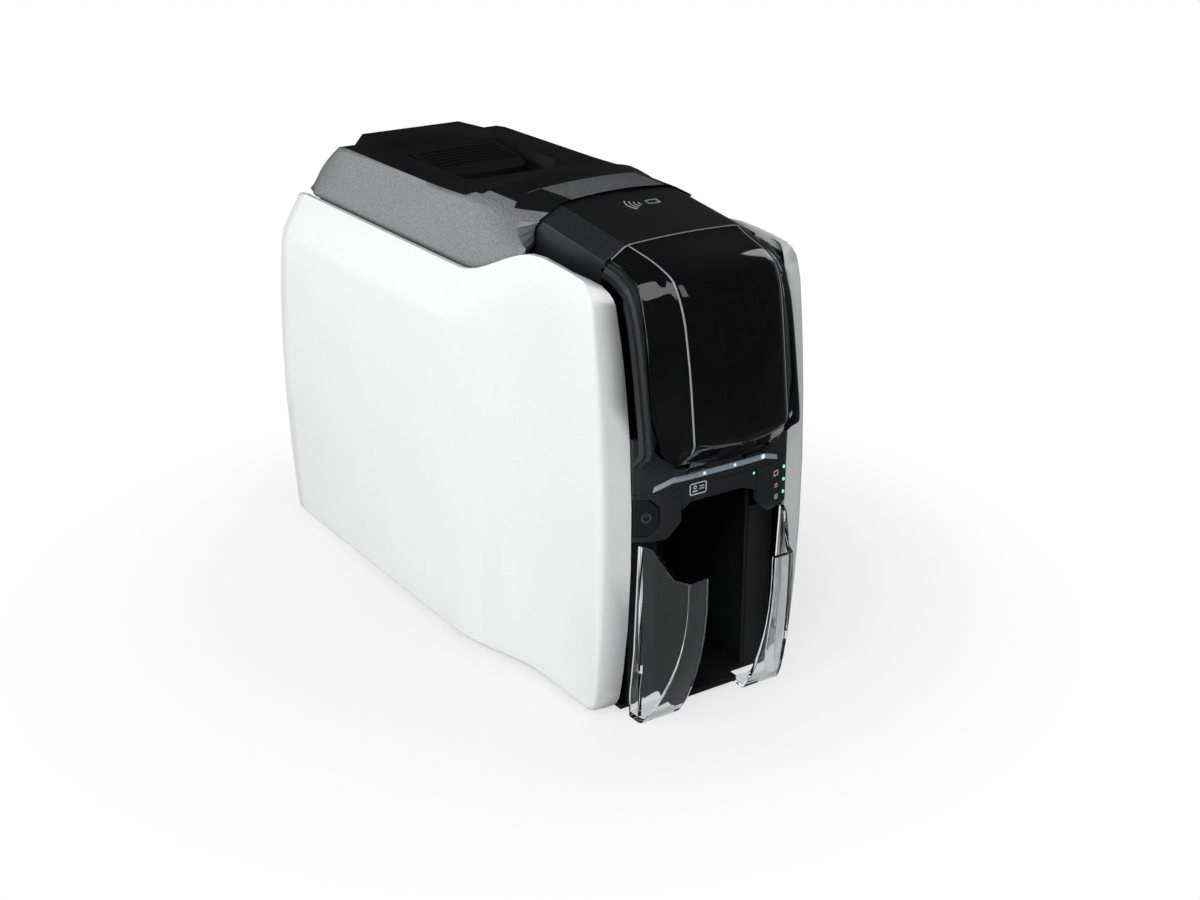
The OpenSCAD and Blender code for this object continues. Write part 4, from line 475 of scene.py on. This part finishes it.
def tintLid(obj):
    # the band of the arch is a lighter textured grey; the flanks get a lighter, glossier copy of the lid
    # plastic, a painted sheen
    obj.data.materials.append(finishes["archGrey"])
    obj.data.materials.append(finishes["lidSidePaintedSheen"])
    for face in obj.data.polygons:
        x, y, z = face.center
        half, reach = abs(x) * 1000, (y - frontY) * 1000 - 79
        if half < 59 and reach < between(archEdge, half) - 0.3 and face.normal.y < -0.05 and z > 0.2:
            face.material_index = 1
        elif abs(face.normal.x) > 0.45 and half > 44:
            face.material_index = 2


def tintHood(obj):
    obj.data.materials.append(finishes["hoodSide"])
    for face in obj.data.polygons:
        if abs(face.normal.x) > 0.3:
            face.material_index = 1


faceRules = {"top_lid": tintLid, "hood": tintHood}


def smoothPieces():
    for node, s in smoothSet.items():
        bm = bmesh.new()
        bm.from_mesh(frame["nodes"][node].data)
        bmesh.ops.remove_doubles(bm, verts=bm.verts, dist=2e-6)
        bmesh.ops.dissolve_limit(bm, angle_limit=radians(0.3), verts=bm.verts, edges=bm.edges)
        obj = addPiece(node + "_skin", bm, s["finish"], bodyOf[node], s["angle"])
        if node in faceRules:
            faceRules[node](obj)
        if s["bevel"]:
            addBevel(obj, s["bevel"])
        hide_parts(node)
    print("smooth skins done")


def place(x, y, z):
    return Vector((x / 1000, y / 1000 + frontY, z / 1000))


def splineAt(points, t):
    # smooth curve through a row of points, t counted in points
    n = len(points) - 1
    k = min(int(t), n - 1)
    f = t - k
    p = [Vector(points[min(n, max(0, k + d))]) for d in (-1, 0, 1, 2)]
    return 0.5 * (2 * p[1] + (p[2] - p[0]) * f + (2 * p[0] - 5 * p[1] + 4 * p[2] - p[3]) * f * f
                  + (3 * p[1] - p[0] - 3 * p[2] + p[3]) * f * f * f)


def sheet(name, across, along, at, thickness, finish, owner, smooth):
    # an even grid laid on a surface, thickened inwards
    bm = bmesh.new()
    bmesh.ops.create_grid(bm, x_segments=across, y_segments=along, size=0.5)
    for v in bm.verts:
        v.co = at(v.co.x + 0.5, v.co.y + 0.5)
    obj = addPiece(name, bm, finish, bodyOf[owner], smooth)
    mod = obj.modifiers.new("wall", "SOLIDIFY")
    mod.thickness = thickness / 1000
    mod.offset = -1
    return obj


# guide lines as half width, y and z: the door's front corner and the edge that meets the fascia
doorSet = {
    "front": [(33.9, 30.5, 246.5), (32.7, 22.8, 244.6), (31.7, 13.7, 242.5), (31.4, 4.4, 240.1),
              (30.8, -3.4, 236.7), (30.6, -7.7, 230.9), (30.1, -10.5, 224.4), (29.6, -12.4, 217.5),
              (29.4, -13.7, 210.4), (29, -16.1, 195.9), (28.9, -18.1, 181.3), (28.9, -20.5, 161.3),
              (28, -19.4, 157), (27, -15.5, 151.5), (25.5, -9.5, 144)],
    "back": [(43.3, 30.5, 240.4), (43.1, 24, 239.3), (43, 17.9, 238.2), (42.9, 8.7, 232.9), (43.3, 4.3, 224.9),
             (43.6, 1.7, 216.2), (43.7, -0.5, 207.3), (44, -2.1, 198.2), (44.2, -3.4, 189), (44.4, -4.7, 179.7),
             (44.5, -5.8, 170.2), (42.8, -6.9, 163.7), (40, -8, 154), (35.8, -8.3, 147.5), (31.3, -8.5, 143)],
    "bows": [1.22, 1.4, 1.7, 2.1, 2.6, 3.1, 3.5, 3.9, 4.2, 4.65, 4.9, 4.95, 4.5, 3.0, 1.5],
    "wall": 2.0,
    "frontShare": 0.6,
    "corner": 0.07,
    "rear": 30.5,
    "axis": (-6.9, 139.5),
    "knuckles": (-18, 18),
    "knuckleRadius": 1.95,
    "knuckleLength": 9.9,
    "ribs": {"doorRibLeft": 0.36, "doorRibRight": -0.30},
    "ribWidth": 1.3,
    "ribRise": 1.6,
    # where the painted highlight strips run on the door's two front corners, and how wide they are
    "edges": {"doorHighlightLeft": -1, "doorHighlightRight": 1},
    "edgeShare": 0.018,
}


def doorPoint(share, row, sink=0.0):
    # share 0 at the middle of the door, 1 at the edge that meets the fascia
    s = doorSet
    k = row * (len(s["front"]) - 1)
    f, b = splineAt(s["front"], k), splineAt(s["back"], k)
    step = splineAt(s["front"], min(k + 0.5, 14)) - splineAt(s["front"], max(k - 0.5, 0))
    out = Vector((0, step.z, -step.y)).normalized()
    if row < 0.04:
        out = Vector((0, 0, 1)).lerp(out, row / 0.04).normalized()
    low = s["bows"][min(13, int(k))]
    bow = low + (s["bows"][min(14, int(k) + 1)] - low) * (k - int(k))
    fs, c = s["frontShare"], s["corner"]

    def face(t):
        return Vector((f.x * t, f.y, f.z)) + out * bow * (1 - t * t)

    def side(q):
        return f.lerp(b, q)

    if share <= fs - c:
        p = face(share / fs)
    elif share >= fs + c:
        p = side((share - fs) / (1 - fs))
    else:
        t = (share - fs + c) / (2 * c)
        p = face((fs - c) / fs) * (1 - t) ** 2 + f * 2 * t * (1 - t) + side(c / (1 - fs)) * t * t
    p = p - out * sink
    return Vector((p.x, min(p.y, s["rear"]), p.z))


def acrossDoor(u, row, width, sink):
    # u runs from one edge of the door to the other
    share = 1 - 2 * u
    p = doorPoint(width * abs(share), row, sink)
    return place(p.x if share < 0 else -p.x, p.y, p.z)


def makeKnuckles():
    bm = bmesh.new()
    y, z = doorSet["axis"]
    r, long = doorSet["knuckleRadius"] / 1000, doorSet["knuckleLength"] / 1000
    for x in doorSet["knuckles"]:
        roll = Matrix.Translation(place(x, y, z)) @ Matrix.Rotation(radians(90), 4, "Y")
        bmesh.ops.create_cone(bm, cap_ends=True, segments=32, radius1=r, radius2=r, depth=long, matrix=roll)
        block = Matrix.Translation(place(x, y - 1.2, z + 2.6)) @ Matrix.Rotation(radians(28), 4, "X")
        bmesh.ops.create_cube(bm, size=1.0, matrix=block @ Matrix.Diagonal((0.0098, 0.0022, 0.0062, 1)))
    knuckles = addPiece("doorKnuckles", bm, "smokedClear", bodyOf["feeder_door"], 40)


def makeDoor():
    s = doorSet
    door = sheet("feeder_door_skin", 72, 96, lambda u, v: acrossDoor(u, 1 - v, 1, 0), s["wall"], "smokedClear",
                 "feeder_door", 60)
    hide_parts("feeder_door")
    makeKnuckles()
    # moulded ribs on the inside of the front
    for name, x0 in s["ribs"].items():
        def ribAt(u, v, x0=x0):
            row = 0.05 + 0.82 * (1 - v)
            p = doorPoint(abs(x0) * s["frontShare"], row, 2.05 + s["ribRise"] * (1 - abs(2 * u - 1)))
            return place((-p.x if x0 > 0 else p.x) + (u - 0.5) * s["ribWidth"], p.y, p.z)
        sheet(name, 4, 60, ribAt, 0.3, "ribGrey", "feeder_door", 40)
    # painted highlights: pale strips along the two front corners and the seam under the hood, standing in for
    # the light that these edges catch
    for name, side in s["edges"].items():
        def edgeAt(u, v, side=side):
            p = doorPoint(s["frontShare"] + (u - 0.5) * s["edgeShare"], 0.02 + 0.9 * (1 - v), -0.04)
            return place(side * p.x, p.y, p.z)
        sheet(name, 3, 70, edgeAt, 0.2, "paintedEdgeHighlight", "feeder_door", 40)
    sheet("doorHighlightTop", 60, 3, lambda u, v: acrossDoor(u, 0.012 * (1 - v), 0.98, -0.03), 0.2, "paintedEdgeHighlight",
          "feeder_door", 40)
    print("door done")


fasciaSet = {
    "line": [(2, 129.2), (1.6, 141), (-3.5, 146.5), (-7.5, 149.5), (-9.4, 153.1), (-8.2, 163.8), (-6, 177.1),
             (-3.8, 190.3), (-0.8, 205.7), (1.8, 215.8), (5.8, 224.6), (9.5, 230.8), (14.4, 234.1), (19, 236.1),
             (22.9, 237.4), (30, 238.2)],
    "corner": 46.0,
    "side": 48.2,
    "depth": 7.5,
}


def makeFasciaFlanks():
    # slanted sides of the fascia, from its front corner back beside the panel's rim
    f = fasciaSet
    guide = [(0, *p) for p in f["line"]]
    for name, sign in (("fasciaFlankLeft", -1), ("fasciaFlankRight", 1)):
        def at(u, v, sign=sign):
            y, z = splineAt(guide, v * (len(guide) - 1)).yz
            q = u if sign > 0 else 1 - u
            drop = min(1.0, max(0.0, (z - 222) / 14))
            return place(sign * (f["corner"] + (f["side"] - f["corner"]) * q),
                         min(30.2, y + f["depth"] * q * (1 - drop)), z - f["depth"] * q * drop * 0.6)
        sheet(name, 6, 90, at, 0.6, "fasciaGrey", "front_fascia", 30)
    print("fascia sides done")


# printed pictograms, lamps, and light-pipe lenses with a painted glow: how far they stand out and reach in, and
# where they are
markSet = {
    "rise": 0.06,
    "sink": 0.5,
    "contact": (1.5, 70),
    "power": (-42.4, 116),
    "card": (-13.8, 126.9),
    "states": ((38.2, 121.8), (38.6, 115), (39, 108.4)),
    "stripLamp": (21.6, 126.6),
    "lens": (27.5, 134.2),
    "spots": ((-10.1, 134.2), (9.0, 134.2)),
}
lowerFront = {"reach": 4.7, "swing": 7.4, "half": 48.6}  # bow of the lower front
hoodTop = {"seam": 31, "length": 66, "side": 240, "rise": 8.5, "lift": 6.5, "crown": 1.2, "half": 33.9}


def frontSpot(x, z, lift=0.0):
    # frame on the bowed lower front: right, up, outward
    s = lowerFront
    out = abs(x) / s["half"]
    slope = 4 * s["swing"] * out ** 3 / s["half"] * (1 if x > 0 else -1)
    right = Vector((1, slope, 0)).normalized()
    spot = Matrix((right, (0, 0, 1), (right.y, -right.x, 0))).transposed().to_4x4()
    spot.translation = place(x, -s["reach"] + s["swing"] * out ** 4 - lift, z)
    return spot


def hoodSpot(x, y):
    # frame on the hood's crowned top
    s = hoodTop
    tilt = atan2(s["rise"], s["length"])
    part = (y - s["seam"]) / s["length"]
    right = Vector((1, 0, 0))
    up = Vector((0, cos(tilt), sin(tilt)))
    spot = Matrix((right, up, right.cross(up))).transposed().to_4x4()
    crown = s["crown"] * (1 + part) * (1 - (x / s["half"]) ** 2)
    spot.translation = place(x, y, s["side"] + s["rise"] * part + s["lift"] + crown)
    return spot


def addBar(bm, spot, a, b, width):
    a, b = Vector((*a, 0)) / 1000, Vector((*b, 0)) / 1000
    high = (markSet["rise"] + markSet["sink"]) / 1000
    mid = (a + b) / 2 + Vector((0, 0, markSet["rise"] / 1000 - high / 2))
    turn = atan2(b.y - a.y, b.x - a.x)
    fit = Matrix.Diagonal(((b - a).length + width / 1000, width / 1000, high, 1))
    lie = spot @ Matrix.Translation(mid) @ Matrix.Rotation(turn, 4, "Z")
    bmesh.ops.create_cube(bm, size=1.0, matrix=lie @ fit)


def addFrame(bm, spot, centre, half, inset, width):
    # outline of a card: two long bars, two short ones
    for y in (-half[1], half[1]):
        addBar(bm, spot, (centre - half[0] + inset[0], y), (centre + half[0] - inset[0], y), width)
    for x in (centre - half[0], centre + half[0]):
        addBar(bm, spot, (x, -half[1] + inset[1]), (x, half[1] - inset[1]), width)


def addArc(bm, spot, centre, radius, width, start, sweep):
    high = (markSet["rise"] + markSet["sink"]) / 1000
    mid = Vector((*centre, 0)) / 1000
    made = bmesh.ops.create_grid(bm, x_segments=1, y_segments=1, size=0.5)["verts"]
    stand = (spot @ Matrix.Translation(mid) @ Matrix.Rotation(radians(start), 4, "Z")
             @ Matrix.Translation((radius / 1000, 0, markSet["rise"] / 1000 - high / 2))
             @ Matrix.Rotation(radians(90), 4, "X") @ Matrix.Diagonal((width / 1000, high, 1, 1)))
    bmesh.ops.transform(bm, matrix=stand, verts=made)
    geom = made + list({e for v in made for e in v.link_edges}) + list({f for v in made for f in v.link_faces})
    bmesh.ops.spin(bm, geom=geom, cent=spot @ mid, axis=spot.to_3x3() @ Vector((0, 0, 1)), angle=radians(sweep),
                   steps=20, use_duplicate=False)
    bmesh.ops.holes_fill(bm, edges=[e for e in bm.edges if e.is_boundary], sides=4)


def addDisc(bm, spot, radius, rise):
    high = rise + markSet["sink"]
    at = spot @ Matrix.Translation((0, 0, (rise - high / 2) / 1000))
    bmesh.ops.create_cone(bm, cap_ends=True, segments=32, radius1=radius / 1000, radius2=radius * 0.9 / 1000,
                          depth=high / 1000, matrix=at)


def markPiece(name, finish, draw, owner):
    bm = bmesh.new()
    draw(bm)
    bmesh.ops.recalc_face_normals(bm, faces=bm.faces)
    addPiece(name, bm, finish, bodyOf[owner], 30)


def drawWaves(bm):
    spot = hoodSpot(*markSet["contact"])
    for radius in (2.6, 5.0, 7.4, 9.8):
        addArc(bm, spot, (2.5, 0), radius, 0.7, 142, 76)
    addFrame(bm, spot, 8.2, (3.3, 2.2), (0.3, 0.5), 0.5)


def drawPower(bm):
    spot = frontSpot(*markSet["power"], 0.2)
    addArc(bm, spot, (0, 0), 2.2, 0.55, 120, 300)
    addBar(bm, spot, (0, 0.8), (0, 2.9), 0.5)


def drawCard(bm):
    spot = frontSpot(*markSet["card"])
    addFrame(bm, spot, 0, (4.9, 2.9), (0.5, 0.5), 0.5)
    addArc(bm, spot, (-1.9, 0.9), 0.8, 0.4, 0, 350)
    addBar(bm, spot, (1.0, 1.0), (3.4, 1.0), 0.45)
    addBar(bm, spot, (1.0, -0.4), (3.4, -0.4), 0.45)
    addBar(bm, spot, (-3.0, -1.2), (-0.8, -1.2), 0.7)


def drawStates(bm):
    top, mid, low = [frontSpot(*at) for at in markSet["states"]]
    addFrame(bm, top, 0, (1.7, 1.2), (0, 0.4), 0.45)
    addArc(bm, mid, (0, -0.6), 1.3, 0.45, 25, 130)
    addBar(bm, mid, (-1.2, -0.9), (1.2, -0.9), 0.45)
    addArc(bm, low, (0, 0), 1.3, 0.45, 0, 350)
    addBar(bm, low, (0, -0.4), (0, 0.5), 0.45)


def drawStripLamp(bm):
    addDisc(bm, frontSpot(*markSet["stripLamp"]), 0.7, 0.05)


def drawLens(bm):
    addDisc(bm, frontSpot(*markSet["lens"]), 1.4, 0.25)


def drawSpots(bm):
    for at in markSet["spots"]:
        addDisc(bm, frontSpot(*at), 0.9, 0.12)


def makeMarks():
    markPiece("contactMark", "iconGrey", drawWaves, "hood")
    markPiece("powerMark", "iconDim", drawPower, "power_button")
    markPiece("cardMark", "iconWhite", drawCard, "gate_strip")
    markPiece("stateMarks", "iconWhite", drawStates, "control_panel")
    markPiece("stripLamp", "lampGreen", drawStripLamp, "gate_strip")
    # the light pipe's lens and spots carry the painted glow
    markPiece("pipeLens", "pipePaintedGlow", drawLens, "light_pipe")
    markPiece("pipeSpots", "pipePaintedGlow", drawSpots, "light_pipe")
    print("marks and lamps done")


placeCamera()
placeLights()
makeWorld()
makeFloor()
makeFinishes()
dressNodes()
print("studio and finishes done")
smoothPieces()
makeDoor()
makeFasciaFlanks()
makeMarks()
